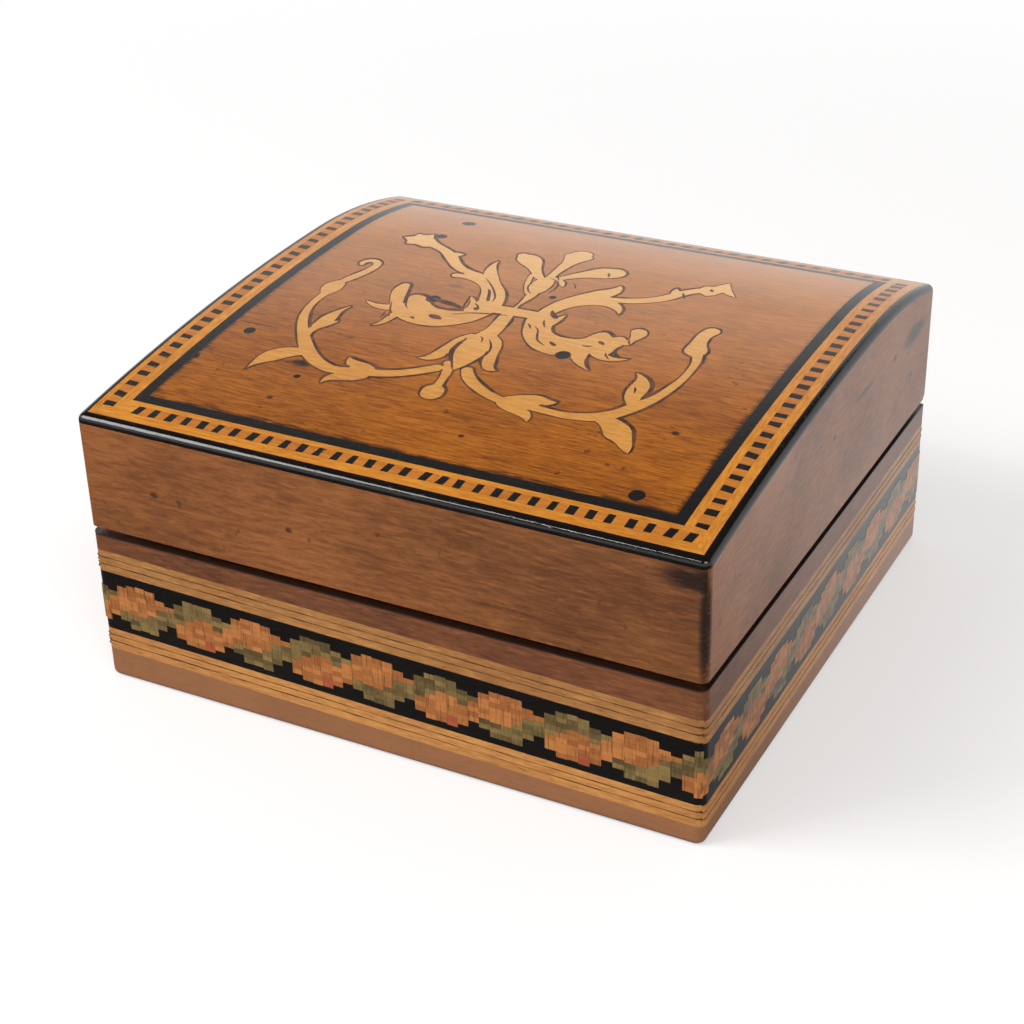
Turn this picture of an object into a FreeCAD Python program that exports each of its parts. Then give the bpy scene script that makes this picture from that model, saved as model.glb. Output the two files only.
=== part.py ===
import FreeCAD, Part
import os

# Small domed-lid trick box in walnut: a mitred base with mosaic bands, a hinged lid with
# stringing and an inlaid arabesque, and a secret bolt worked by a board that slides underneath.
# Frame: millimetres, +X to the right, +Y to the back, +Z up, origin under the middle of the base.

Vector = FreeCAD.Vector
X_AXIS = Vector(1, 0, 0)
Y_AXIS = Vector(0, 1, 0)
Z_AXIS = Vector(0, 0, 1)

doc = FreeCAD.newDocument("trick_box")
sheet = doc.addObject("Spreadsheet::Sheet", "sizes")

# Driving dimensions
SIZES = [
    ("box_width", 101, "outside width, left to right"),
    ("box_depth", 95, "outside depth, front to back"),
    ("base_height", 25.9, "height of the base walls"),
    ("lid_front_rise", 18.65, "lid rim up to the front arris"),
    ("lid_back_rise", 20.0, "lid rim up to the back arris"),
    ("lid_crown_rise", 24.1, "lid rim up to the crown of the curved top"),
    ("crown_place", 20.0, "how far the crown lies behind the middle"),
    ("base_wall", 7, "thickness of the base walls"),
    ("lid_clear", 0.4, "gap between the lid walls and the base lining that stands up inside them"),
    ("base_corner_round", 1.5, "rounding of the base's upright corners"),
    ("foot_round", 1.0, "rounding of the base's bottom edges"),
    ("lid_corner_round", 1.3, "rounding of the lid's upright corners"),
    ("arris_round", 1.1, "rounding of the lid's top edges"),
    ("lid_bevel", 2.0, "bevel on the lid's lower back edge, which lets the lid swing"),
    ("rim_bevel", 1.0, "bevel on the base's upper back edge"),
    ("band_skin", 1.2, "thickness of the strips let into the base walls"),
    ("mosaic_height", 10.4, "height of the mosaic strips"),
    ("stringing_height", 3.7, "height of the light strips above and below the mosaic"),
    ("front_band_depth", 12.7, "base rim down to the mosaic's middle on the front"),
    ("right_band_depth", 13.2, "the same on the right side"),
    ("back_band_depth", 12.8, "the same on the back"),
    ("left_band_depth", 12.2, "the same on the left side"),
    ("front_band_drop", 1.1, "degrees that the strips fall to the right, seen from the front"),
    ("right_band_drop", -0.85, "the same, seen from the right side"),
    ("back_band_drop", -0.3, "the same, seen from the back"),
    ("left_band_drop", 0.4, "the same, seen from the left side"),
    ("veneer", 1.0, "thickness of the face veneer on the lid"),
    ("edge_string_wide", 1.4, "width of the black string along the lid's edges"),
    ("edge_string_deep", 1.15, "depth of that string down the lid's sides"),
    ("ladder_wide", 4.75, "width of the light and dark ladder banding"),
    ("inner_string_wide", 1.75, "width of the black string around the field"),
    ("lid_hollow", 14.4, "lid rim up to the underside of the top board"),
    ("lining_thick", 1.5, "thickness of the lining strips"),
    ("lining_proud", 2.1, "how far the base lining stands above the base rim"),
    ("lining_meet", 0.1, "gap between the base lining and the lid lining"),
    ("paper", 0.4, "thickness of the lining paper"),
    ("runner_lift", 0.6, "height of the runners above the table"),
    ("runner_high", 2.0, "height of the runners' section"),
    ("runner_wide", 3.0, "width of the runners' section"),
    ("slide_thick", 3.0, "thickness of the sliding board"),
    ("slide_travel", 8.0, "travel of the sliding board to the left"),
    ("slide_clear", 0.1, "running gap above and below the sliding board"),
    ("slide_side_clear", 0.3, "running gap around the sliding board's edges"),
    ("floor_thick", 3.0, "thickness of the inner floor"),
    ("thumb_long", 16.0, "length of the thumb groove under the sliding board"),
    ("thumb_wide", 5.0, "width of the thumb groove"),
    ("thumb_deep", 0.9, "depth of the thumb groove"),
    ("bolt_place", 5.0, "place of the bolt's shank, left to right"),
    ("bolt_wide", 5.0, "width of the bolt's shank"),
    ("bolt_thick", 1.6, "thickness of the bolt's metal"),
    ("bolt_rise", 8.4, "height of the bolt's top above the base rim"),
    ("bolt_lug_long", 4.5, "length of the bolt's side lug"),
    ("bolt_lug_high", 2.6, "height of the bolt's side lug"),
    ("bolt_foot_long", 10.0, "length of the bolt's foot let into the sliding board"),
    ("bolt_clear", 0.25, "gap between the bolt and the lid lining"),
    ("bolt_front_clear", 0.7, "gap in front of the bolt, for the swing of the lid"),
    ("bolt_side_clear", 0.6, "gap beside the bolt, below its foot and above its top"),
    ("keeper_radius", 1.0, "radius of the keeper pin in the lid"),
    ("keeper_drive", 2.6, "depth of the keeper pin in the lid's front wall"),
    ("keeper_gap", 0.4, "gap between the keeper pin and the bolt's lug"),
    ("hinge_spacing", 52.0, "distance between the middles of the two hinges"),
    ("hinge_long", 16.0, "length of a hinge"),
    ("leaf_wide", 5.0, "width of a hinge leaf from the pin's axis"),
    ("leaf_thick", 0.55, "thickness of a hinge leaf"),
    ("leaf_gap", 0.1, "gap between the two closed leaves of a hinge"),
    ("knuckle_radius", 1.3, "outside radius of the hinge knuckles"),
    ("knuckle_inset", 0.1, "how far the knuckles stay inside the back face"),
    ("knuckle_gap", 0.2, "gap between neighbouring knuckles"),
    ("knuckle_relief", 0.3, "clearance around the knuckles"),
    ("pin_radius", 0.55, "radius of the hinge pins"),
    ("pin_clear", 0.05, "running clearance of the lid's knuckles on the pins"),
    ("screw_spacing", 10.0, "distance between the two screws of a leaf"),
    ("screw_radius", 0.6, "radius of the small brass screws' shanks"),
    ("screw_head_radius", 1.1, "radius of their countersunk heads"),
    ("screw_long", 4.5, "length of the hinge screws in the wood"),
    ("foot_screw_long", 1.0, "length of the bolt's screws in the sliding board"),
    ("slot_wide", 0.3, "width of the slots in the screw heads"),
    ("slot_deep", 0.25, "depth of the slots in the screw heads"),
    ("foot_screw_front", 0.33, "place of the bolt's first screw, as a share of its foot"),
    ("foot_screw_back", 0.75, "place of its second screw"),
    ("plug_radius", 1.2, "radius of the largest dark plugs in the lid's face"),
]
for row, (alias, value, meaning) in enumerate(SIZES, start=1):
    sheet.set(f"A{row}", meaning)
    sheet.set(f"B{row}", str(value))
    sheet.setAlias(f"B{row}", alias)
doc.recompute()


def value_of(expression):
    """The number that an expression on the sheet gives now."""
    return float(sheet.evalExpression(expression))


# Places that several pieces share, as expressions on the sheet
HALF_W = "(sizes.box_width / 2)"
HALF_D = "(sizes.box_depth / 2)"
RIM_GAP = "(2 * sizes.leaf_thick + sizes.leaf_gap)"
LID_RIM = f"(sizes.base_height + {RIM_GAP})"
LID_WALL = "(sizes.base_wall - sizes.lid_clear)"
TOP_BOARD = f"({LID_RIM} + sizes.lid_hollow)"
ABOVE_ALL = f"({LID_RIM} + sizes.lid_crown_rise + sizes.lid_hollow)"
BELOW_ALL = "(-sizes.base_height)"
SLIDE_BOTTOM = "(sizes.runner_lift + sizes.runner_high + sizes.slide_clear)"
SLIDE_TOP = f"({SLIDE_BOTTOM} + sizes.slide_thick)"
FLOOR_BOTTOM = f"({SLIDE_TOP} + sizes.slide_clear)"
FLOOR_TOP = f"({FLOOR_BOTTOM} + sizes.floor_thick)"
LINING_TOP = "(sizes.base_height + sizes.lining_proud)"
LADDER_IN = "sizes.edge_string_wide"
INNER_IN = "(sizes.edge_string_wide + sizes.ladder_wide)"
FIELD_IN = f"({INNER_IN} + sizes.inner_string_wide)"
MITRE = f"({FIELD_IN} + 2 * sizes.base_wall)"

# The curved top is two long cylinders that meet smoothly along the crown, which lies behind the middle
CROWN_Z = f"({LID_RIM} + sizes.lid_crown_rise)"
BOWS = [
    # name, reach from the crown to the arris, fall from the crown to the arris
    ("front", f"({HALF_D} + sizes.crown_place)", "(sizes.lid_crown_rise - sizes.lid_front_rise)"),
    ("back", f"({HALF_D} - sizes.crown_place)", "(sizes.lid_crown_rise - sizes.lid_back_rise)"),
]

# The four sides: name, turn about Z, length along the side, size across the box
SIDES = [
    ("front", 0, "sizes.box_width", "sizes.box_depth"),
    ("right", 90, "sizes.box_depth", "sizes.box_width"),
    ("back", 180, "sizes.box_width", "sizes.box_depth"),
    ("left", 270, "sizes.box_depth", "sizes.box_width"),
]
nodes = []


def node(piece, name):
    """Name a finished piece and put it on the list that is written out."""
    piece.Label = name
    nodes.append(piece)
    return piece


# Building blocks

def box(name, x, y, z):
    """A block between pairs of low and high expressions."""
    block = doc.addObject("Part::Box", name)
    for axis, edge, (low, high) in zip("xyz", ("Length", "Width", "Height"), (x, y, z)):
        block.setExpression(edge, f"({high}) - ({low})")
        block.setExpression(f"Placement.Base.{axis}", low)
    return block


def inset_block(name, inset, z=(BELOW_ALL, ABOVE_ALL)):
    """A block that stands in from all four outside faces by one inset."""
    x = (f"{inset} - {HALF_W}", f"{HALF_W} - {inset}")
    y = (f"{inset} - {HALF_D}", f"{HALF_D} - {inset}")
    return box(name, x, y, z)


def rod(name, axis, start, long, radius):
    """A round rod that points along a world axis from its start."""
    piece = doc.addObject("Part::Cylinder", name)
    piece.setExpression("Radius", radius)
    piece.setExpression("Height", long)
    piece.Placement = FreeCAD.Placement(Vector(), FreeCAD.Rotation(Z_AXIS, axis))
    for letter, place in zip("xyz", start):
        piece.setExpression(f"Placement.Base.{letter}", place)
    return piece


def combine(kind, name, base, tool):
    piece = doc.addObject(kind, name)
    piece.Base = base
    piece.Tool = tool
    piece.Refine = True
    return piece


def cut(name, base, *tools):
    for i, tool in enumerate(tools):
        base = combine("Part::Cut", f"{name}_{i}", base, tool)
    return base


def common(name, base, *tools):
    for i, tool in enumerate(tools):
        base = combine("Part::Common", f"{name}_{i}", base, tool)
    return base


def fuse(name, pieces):
    whole = doc.addObject("Part::MultiFuse", name)
    whole.Shapes = pieces
    whole.Refine = True
    return whole


def group(name, pieces):
    whole = doc.addObject("Part::Compound", name)
    whole.Links = pieces
    return whole


def rounded(name, block, roundings):
    """The block with groups of its edges filleted, each group picked by a test on an edge."""
    body = doc.addObject("PartDesign::Body", name)
    body.BaseFeature = block
    body.setExpression("Placement", f"{block.Name}.Placement")
    doc.recompute()
    for i, (radius, wanted) in enumerate(roundings):
        tip = body.Tip
        edges = enumerate(tip.Shape.Edges, start=1)
        picked = [f"Edge{number}" for number, edge in edges if wanted(edge)]
        fillet = body.newObject("PartDesign::Fillet", f"{name}_round_{i}")
        fillet.Base = (tip, picked)
        fillet.setExpression("Radius", radius)
        doc.recompute()
    return body


def is_upright(edge):
    bounds = edge.BoundBox
    return bounds.XLength + bounds.YLength < bounds.ZLength / 100


def lies_below(height):
    """A test for edges that lie wholly below a height."""
    return lambda edge: edge.BoundBox.ZMax < height


def lies_above(height):
    """A test for edges that lie wholly above a height."""
    return lambda edge: edge.BoundBox.ZMin > height


def side_prism(name, turn, long, across):
    """The mitred share of the whole box that belongs to one side."""
    prism = doc.addObject("Part::Wedge", name)
    half = f"{long} / 2"
    beyond = "sizes.base_wall"
    places = {
        "Xmin": f"-{half} - {beyond}", "Xmax": f"{half} + {beyond}",
        "X2min": f"{MITRE} - {half}", "X2max": f"{half} - {MITRE}",
        "Ymin": f"-{across} / 2 - {beyond}", "Ymax": f"{MITRE} - {across} / 2",
        "Zmin": BELOW_ALL, "Zmax": ABOVE_ALL, "Z2min": BELOW_ALL, "Z2max": ABOVE_ALL,
    }
    for place, expression in places.items():
        prism.setExpression(place, expression)
    prism.Placement = FreeCAD.Placement(Vector(), FreeCAD.Rotation(Z_AXIS, turn))
    return prism


def side_slab(name, side, low, high):
    """A slightly tilted layer on one side of the base, as deep as the strips let in there."""
    label, turn, long, across = side
    slab = doc.addObject("Part::Wedge", name)
    tilt = f"tan(sizes.{label}_band_drop * 1 deg) * {long} / 2"
    middle = f"(sizes.base_height - sizes.{label}_band_depth)"
    places = {
        "Ymin": f"-{long} / 2", "Ymax": f"{long} / 2",
        "Xmin": f"{across} / 2 - sizes.band_skin", "Xmax": f"{across} / 2 + sizes.band_skin",
        "X2min": f"{across} / 2 - sizes.band_skin", "X2max": f"{across} / 2 + sizes.band_skin",
        "Zmin": f"{middle} + {low} + {tilt}", "Zmax": f"{middle} + {high} + {tilt}",
        "Z2min": f"{middle} + {low} - {tilt}", "Z2max": f"{middle} + {high} - {tilt}",
    }
    for place, expression in places.items():
        slab.setExpression(place, expression)
    slab.Placement = FreeCAD.Placement(Vector(), FreeCAD.Rotation(Z_AXIS, turn - 90))
    return slab


def back_bevel(name, height, leg):
    """A square bar turned on edge, which bevels a back edge that lies at this height."""
    bar = doc.addObject("Part::Box", name)
    bar.setExpression("Length", "sizes.box_width")
    bar.setExpression("Width", f"{leg} * sqrt(2)")
    bar.setExpression("Height", f"{leg} * sqrt(2)")
    bar.Placement = FreeCAD.Placement(Vector(), FreeCAD.Rotation(X_AXIS, 45))
    bar.setExpression("Placement.Base.x", f"-{HALF_W}")
    bar.setExpression("Placement.Base.y", HALF_D)
    bar.setExpression("Placement.Base.z", f"{height} - {leg}")
    return bar


def dome(name, depth):
    """The form under the curved top, lowered by a depth: the front bow and the back bow, joined."""
    halves = {"front": (f"-{HALF_D}", "sizes.crown_place"), "back": ("sizes.crown_place", HALF_D)}
    shares = []
    for label, reach, fall in BOWS:
        radius = f"(({reach} ^ 2 + {fall} ^ 2) / (2 * {fall}))"
        start = (f"-{HALF_W}", "sizes.crown_place", f"{CROWN_Z} - {radius}")
        bow = rod(f"{name}_{label}_bow", X_AXIS, start, "sizes.box_width", f"{radius} - {depth}")
        half = box(f"{name}_{label}_half", (f"-{HALF_W}", HALF_W), halves[label], (BELOW_ALL, ABOVE_ALL))
        shares.append(common(f"{name}_{label}", bow, half))
    return fuse(name, shares)


prisms = {side[0]: side_prism(f"{side[0]}_share", *side[1:]) for side in SIDES}

# Outer forms of the base and the lid
ACROSS = (f"-{HALF_W}", HALF_W)
FRONT_TO_BACK = (f"-{HALF_D}", HALF_D)
base_stock = box("base_stock", ACROSS, FRONT_TO_BACK, ("0", "sizes.base_height"))
base_form = rounded("base_form", base_stock, [
    ("sizes.base_corner_round", is_upright),
    ("sizes.foot_round", lies_below(value_of("sizes.base_height") / 100)),
])
lid_stock = box("lid_stock", ACROSS, FRONT_TO_BACK, (LID_RIM, ABOVE_ALL))
lid_domed = common("lid_domed", lid_stock, dome("top_curve", "0"))
lid_form = rounded("lid_form", lid_domed, [
    ("sizes.lid_corner_round", is_upright),
    ("sizes.arris_round", lies_above(value_of(f"{LID_RIM} + sizes.lid_front_rise / 2"))),
])

# Hinge places
HINGE_Y = f"({HALF_D} - sizes.knuckle_inset - sizes.knuckle_radius)"
HINGE_Z = f"(sizes.base_height + {RIM_GAP} / 2)"
PLATE_FRONT = f"({HINGE_Y} - sizes.leaf_wide)"
PLATE_BACK = f"({HINGE_Y} - sizes.knuckle_radius - sizes.knuckle_relief)"
SCREW_Y = f"(({PLATE_FRONT} + {PLATE_BACK}) / 2)"
HINGES = [("left", "(-sizes.hinge_spacing / 2)"), ("right", "(sizes.hinge_spacing / 2)")]
LEAVES = [
    # name, height of the leaf's wood face, way that its screws point
    ("base", "sizes.base_height", "-1"),
    ("lid", LID_RIM, "1"),
]


def screw_places():
    for side, middle in HINGES:
        for end, way in (("a", "-1"), ("b", "1")):
            yield f"{side}_{end}", f"{middle} + {way} * sizes.screw_spacing / 2"


def countersunk(name, x, y, seat, way, thick, long):
    """The head and shank of a small screw through a plate that lies on a seat at this height."""
    turn = FreeCAD.Rotation(Z_AXIS, Vector(0, 0, -float(way)))
    head = doc.addObject("Part::Cone", f"{name}_head")
    head.setExpression("Radius1", "sizes.screw_radius")
    head.setExpression("Radius2", "sizes.screw_head_radius")
    head.setExpression("Height", thick)
    head.Placement = FreeCAD.Placement(Vector(), turn)
    for letter, place in zip("xyz", (x, y, seat)):
        head.setExpression(f"Placement.Base.{letter}", place)
    shank = rod(f"{name}_shank", Vector(0, 0, float(way)), (x, y, seat), long, "sizes.screw_radius")
    return fuse(f"{name}_form", [head, shank])


def slotted(name, form, x, y, top, way):
    """The screw with its slot cut into the head, whose flat face lies at this height."""
    half = "sizes.slot_wide / 2"
    reach = "sizes.screw_head_radius"
    inner = f"{top} + {way} * sizes.slot_deep"
    z = (top, inner) if way == "1" else (inner, top)
    slot = box(f"{name}_slot", (f"{x} - {reach}", f"{x} + {reach}"), (f"{y} - {half}", f"{y} + {half}"), z)
    return cut(f"{name}_slotted", form, slot)


screw_forms = {}
screws = {}
for leaf, seat, way in LEAVES:
    screw_forms[leaf] = []
    screws[leaf] = []
    for label, x in screw_places():
        name = f"{leaf}_screw_{label}"
        form = countersunk(name, x, SCREW_Y, seat, way, "sizes.leaf_thick", "sizes.screw_long")
        top = f"({seat} - {way} * sizes.leaf_thick)"
        screw_forms[leaf].append(form)
        screws[leaf].append(slotted(name, form, x, SCREW_Y, top, way))


def hinge_rod(name, start, end, radius):
    return rod(name, X_AXIS, (start, HINGE_Y, HINGE_Z), f"({end}) - ({start})", radius)


reliefs = []
for side, middle in HINGES:
    reach = "(sizes.hinge_long / 2 + sizes.knuckle_relief)"
    around = "sizes.knuckle_radius + sizes.knuckle_relief"
    reliefs.append(hinge_rod(f"{side}_relief", f"{middle} - {reach}", f"{middle} + {reach}", around))
hinge_reliefs = group("hinge_reliefs", reliefs)
screw_holes = {leaf: group(f"{leaf}_screw_holes", screw_forms[leaf]) for leaf in screw_forms}

# The secret bolt: an upright brass strip on the sliding board, behind the front wall's inner face
LID_FRONT_IN = f"({LID_WALL} - {HALF_D})"
BASE_FRONT_IN = f"(sizes.base_wall - {HALF_D})"
BOLT_BACK = f"({LID_FRONT_IN} - sizes.bolt_clear)"
BOLT_FRONT = f"({BOLT_BACK} - sizes.bolt_thick)"
POCKET_FRONT = f"({BOLT_FRONT} - sizes.bolt_front_clear)"
BOLT_LEFT = "(sizes.bolt_place - sizes.bolt_wide / 2)"
BOLT_RIGHT = "(sizes.bolt_place + sizes.bolt_wide / 2)"
BOLT_TOP = "(sizes.base_height + sizes.bolt_rise)"
LUG_LEFT = f"({BOLT_LEFT} - sizes.bolt_lug_long)"
LUG_BOTTOM = f"({BOLT_TOP} - sizes.bolt_lug_high)"
FOOT_BOTTOM = f"({SLIDE_TOP} - sizes.bolt_thick)"
SLIDE_FRONT = f"({BASE_FRONT_IN} + sizes.slide_side_clear)"
FOOT_BACK = f"({SLIDE_FRONT} + sizes.bolt_foot_long)"
KEEPER_X = f"({LUG_LEFT} + sizes.bolt_lug_long / 2 - sizes.slide_travel)"
KEEPER_Z = f"({LUG_BOTTOM} - sizes.keeper_gap - sizes.keeper_radius)"

bolt_channel = box(
    "bolt_channel",
    (f"{BOLT_LEFT} - sizes.slide_travel - sizes.bolt_side_clear", f"{BOLT_RIGHT} + sizes.bolt_side_clear"),
    (POCKET_FRONT, BASE_FRONT_IN),
    (f"{FOOT_BOTTOM} - sizes.bolt_side_clear", "sizes.base_height"),
)
lid_pocket = box(
    "lid_pocket",
    (f"{LUG_LEFT} - sizes.slide_travel - sizes.bolt_side_clear", f"{BOLT_RIGHT} + sizes.bolt_side_clear"),
    (POCKET_FRONT, LID_FRONT_IN),
    (LID_RIM, f"{BOLT_TOP} + sizes.bolt_side_clear"),
)
keeper_start = (KEEPER_X, f"{POCKET_FRONT} - sizes.keeper_drive", KEEPER_Z)
keeper_long = f"{LID_FRONT_IN} - ({POCKET_FRONT} - sizes.keeper_drive)"
keeper = rod("keeper", Y_AXIS, keeper_start, keeper_long, "sizes.keeper_radius")

# Base: four mitred walls, each with a mosaic strip between two light strips
base_hollow = inset_block("base_hollow", "sizes.base_wall")
rim_bar = back_bevel("rim_bar", "sizes.base_height", "sizes.rim_bevel")
base_ring = cut("base_ring", base_form, base_hollow, rim_bar)
HALF_MOSAIC = "(sizes.mosaic_height / 2)"
HALF_BAND = "(sizes.mosaic_height / 2 + sizes.stringing_height)"
STRIPS = [
    ("mosaic", f"-{HALF_MOSAIC}", HALF_MOSAIC),
    ("upper_stringing", HALF_MOSAIC, HALF_BAND),
    ("lower_stringing", f"-{HALF_BAND}", f"-{HALF_MOSAIC}"),
]
wall_cutters = {"front": [bolt_channel], "back": [hinge_reliefs, screw_holes["base"]]}
for side in SIDES:
    label = side[0]
    share = common(f"{label}_base_share", base_ring, prisms[label])
    band = side_slab(f"{label}_band", side, f"-{HALF_BAND}", HALF_BAND)
    wall = cut(f"{label}_base_wall", share, band, *wall_cutters.get(label, []))
    node(wall, f"base_{label}_wall")
    for strip, low, high in STRIPS:
        slab = side_slab(f"{label}_{strip}_slab", side, low, high)
        node(common(f"{label}_{strip}", share, slab), f"{label}_{strip}")

# Inside the base: floor, lining paper, mitred lining strips and runners for the sliding board
node(inset_block("floor", "sizes.base_wall", (FLOOR_BOTTOM, FLOOR_TOP)), "floor_board")
base_lined = inset_block("base_lined", "(sizes.base_wall + sizes.lining_thick)")
lining_block = inset_block("base_lining_block", "sizes.base_wall", (FLOOR_TOP, LINING_TOP))
base_lining = cut("base_lining", lining_block, base_lined)
for label, prism in prisms.items():
    node(common(f"{label}_base_lining", base_lining, prism), f"base_{label}_lining")
paper_inset = "(sizes.base_wall + sizes.lining_thick)"
node(inset_block("floor_paper", paper_inset, (FLOOR_TOP, f"{FLOOR_TOP} + sizes.paper")), "floor_lining")
RUNNER_X = (f"sizes.base_wall - {HALF_W}", f"{HALF_W} - sizes.base_wall")
RUNNER_Z = ("sizes.runner_lift", "sizes.runner_lift + sizes.runner_high")
BASE_BACK_IN = f"({HALF_D} - sizes.base_wall)"
runners = [
    box("front_runner", RUNNER_X, (BASE_FRONT_IN, f"{BASE_FRONT_IN} + sizes.runner_wide"), RUNNER_Z),
    box("back_runner", RUNNER_X, (f"{BASE_BACK_IN} - sizes.runner_wide", BASE_BACK_IN), RUNNER_Z),
]
node(group("runners", runners), "slide_runners")

# Sliding board under the floor, with the bolt's foot let into its top
SLIDE_RIGHT = f"({HALF_W} - sizes.base_wall - sizes.slide_side_clear)"
SLIDE_LEFT = f"(sizes.slide_travel - {SLIDE_RIGHT})"
SLIDE_MIDDLE = f"(({SLIDE_LEFT} + {SLIDE_RIGHT}) / 2)"
board = box("board", (SLIDE_LEFT, SLIDE_RIGHT), (SLIDE_FRONT, f"-{SLIDE_FRONT}"), (SLIDE_BOTTOM, SLIDE_TOP))
foot = box("foot", (BOLT_LEFT, BOLT_RIGHT), (BOLT_FRONT, FOOT_BACK), (FOOT_BOTTOM, SLIDE_TOP))
thumb_groove = box(
    "thumb_groove",
    (f"{SLIDE_MIDDLE} - sizes.thumb_wide / 2", f"{SLIDE_MIDDLE} + sizes.thumb_wide / 2"),
    ("-sizes.thumb_long / 2", "sizes.thumb_long / 2"),
    (SLIDE_BOTTOM, f"{SLIDE_BOTTOM} + sizes.thumb_deep"),
)
foot_screw_forms = []
foot_screws = []
for place in ("front", "back"):
    y = f"({SLIDE_FRONT} + sizes.bolt_foot_long * sizes.foot_screw_{place})"
    name = f"foot_screw_{place}"
    x, thick, long = "sizes.bolt_place", "sizes.bolt_thick", "sizes.foot_screw_long"
    form = countersunk(name, x, y, FOOT_BOTTOM, "-1", thick, long)
    foot_screw_forms.append(form)
    foot_screws.append(slotted(name, form, x, y, SLIDE_TOP, "-1"))
foot_holes = group("foot_holes", foot_screw_forms)
node(cut("slide", board, foot, thumb_groove, foot_holes), "slide_board")
shank = box("shank", (BOLT_LEFT, BOLT_RIGHT), (BOLT_FRONT, BOLT_BACK), (FOOT_BOTTOM, BOLT_TOP))
lug = box("lug", (LUG_LEFT, BOLT_RIGHT), (BOLT_FRONT, BOLT_BACK), (LUG_BOTTOM, BOLT_TOP))
node(cut("bolt", fuse("bolt_strip", [foot, shank, lug]), foot_holes), "lock_bolt")
node(group("bolt_screw_pair", foot_screws), "bolt_screws")

# Lid: four mitred walls and a top board under the face veneers
face_curve = dome("face_curve", "sizes.veneer")
string_curve = dome("string_curve", "sizes.edge_string_deep")
lid_bar = back_bevel("lid_bar", LID_RIM, "sizes.lid_bevel")
edge_layer = cut("edge_layer", lid_form, string_curve, inset_block("edge_inside", LADDER_IN))
face_layer = cut("face_layer", lid_form, face_curve)
lid_core = cut("lid_core", common("lid_under_face", lid_form, face_curve), edge_layer, lid_bar)
lid_ring = cut("lid_ring", lid_core, inset_block("lid_inside", LID_WALL))
lid_cutters = {"front": [lid_pocket, keeper], "back": [hinge_reliefs, screw_holes["lid"]]}
for label, prism in prisms.items():
    share = common(f"{label}_lid_share", lid_ring, prism)
    node(cut(f"{label}_lid_wall", share, *lid_cutters[label]) if label in lid_cutters else share,
         f"lid_{label}_wall")
node(common("top_board", lid_core, inset_block("top_board_stock", LID_WALL, (TOP_BOARD, ABOVE_ALL))),
     "lid_top_board")
node(keeper, "keeper_pin")

# Face of the lid from the edge inwards: black string, ladder banding, black string, field
BORDERS = [
    ("ladder_banding", LADDER_IN, INNER_IN),
    ("inner_string", INNER_IN, FIELD_IN),
]
for label, prism in prisms.items():
    node(common(f"{label}_edge", edge_layer, prism), f"{label}_edge_string")
for border, outside, inside in BORDERS:
    outer = inset_block(f"{border}_outside", outside)
    ring = cut(f"{border}_ring", outer, inset_block(f"{border}_inside", inside))
    layer = common(f"{border}_layer", face_layer, ring)
    for label, prism in prisms.items():
        node(common(f"{label}_{border}_share", layer, prism), f"{label}_{border}")
field = common("field_stock", face_layer, inset_block("field_area", FIELD_IN))

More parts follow.
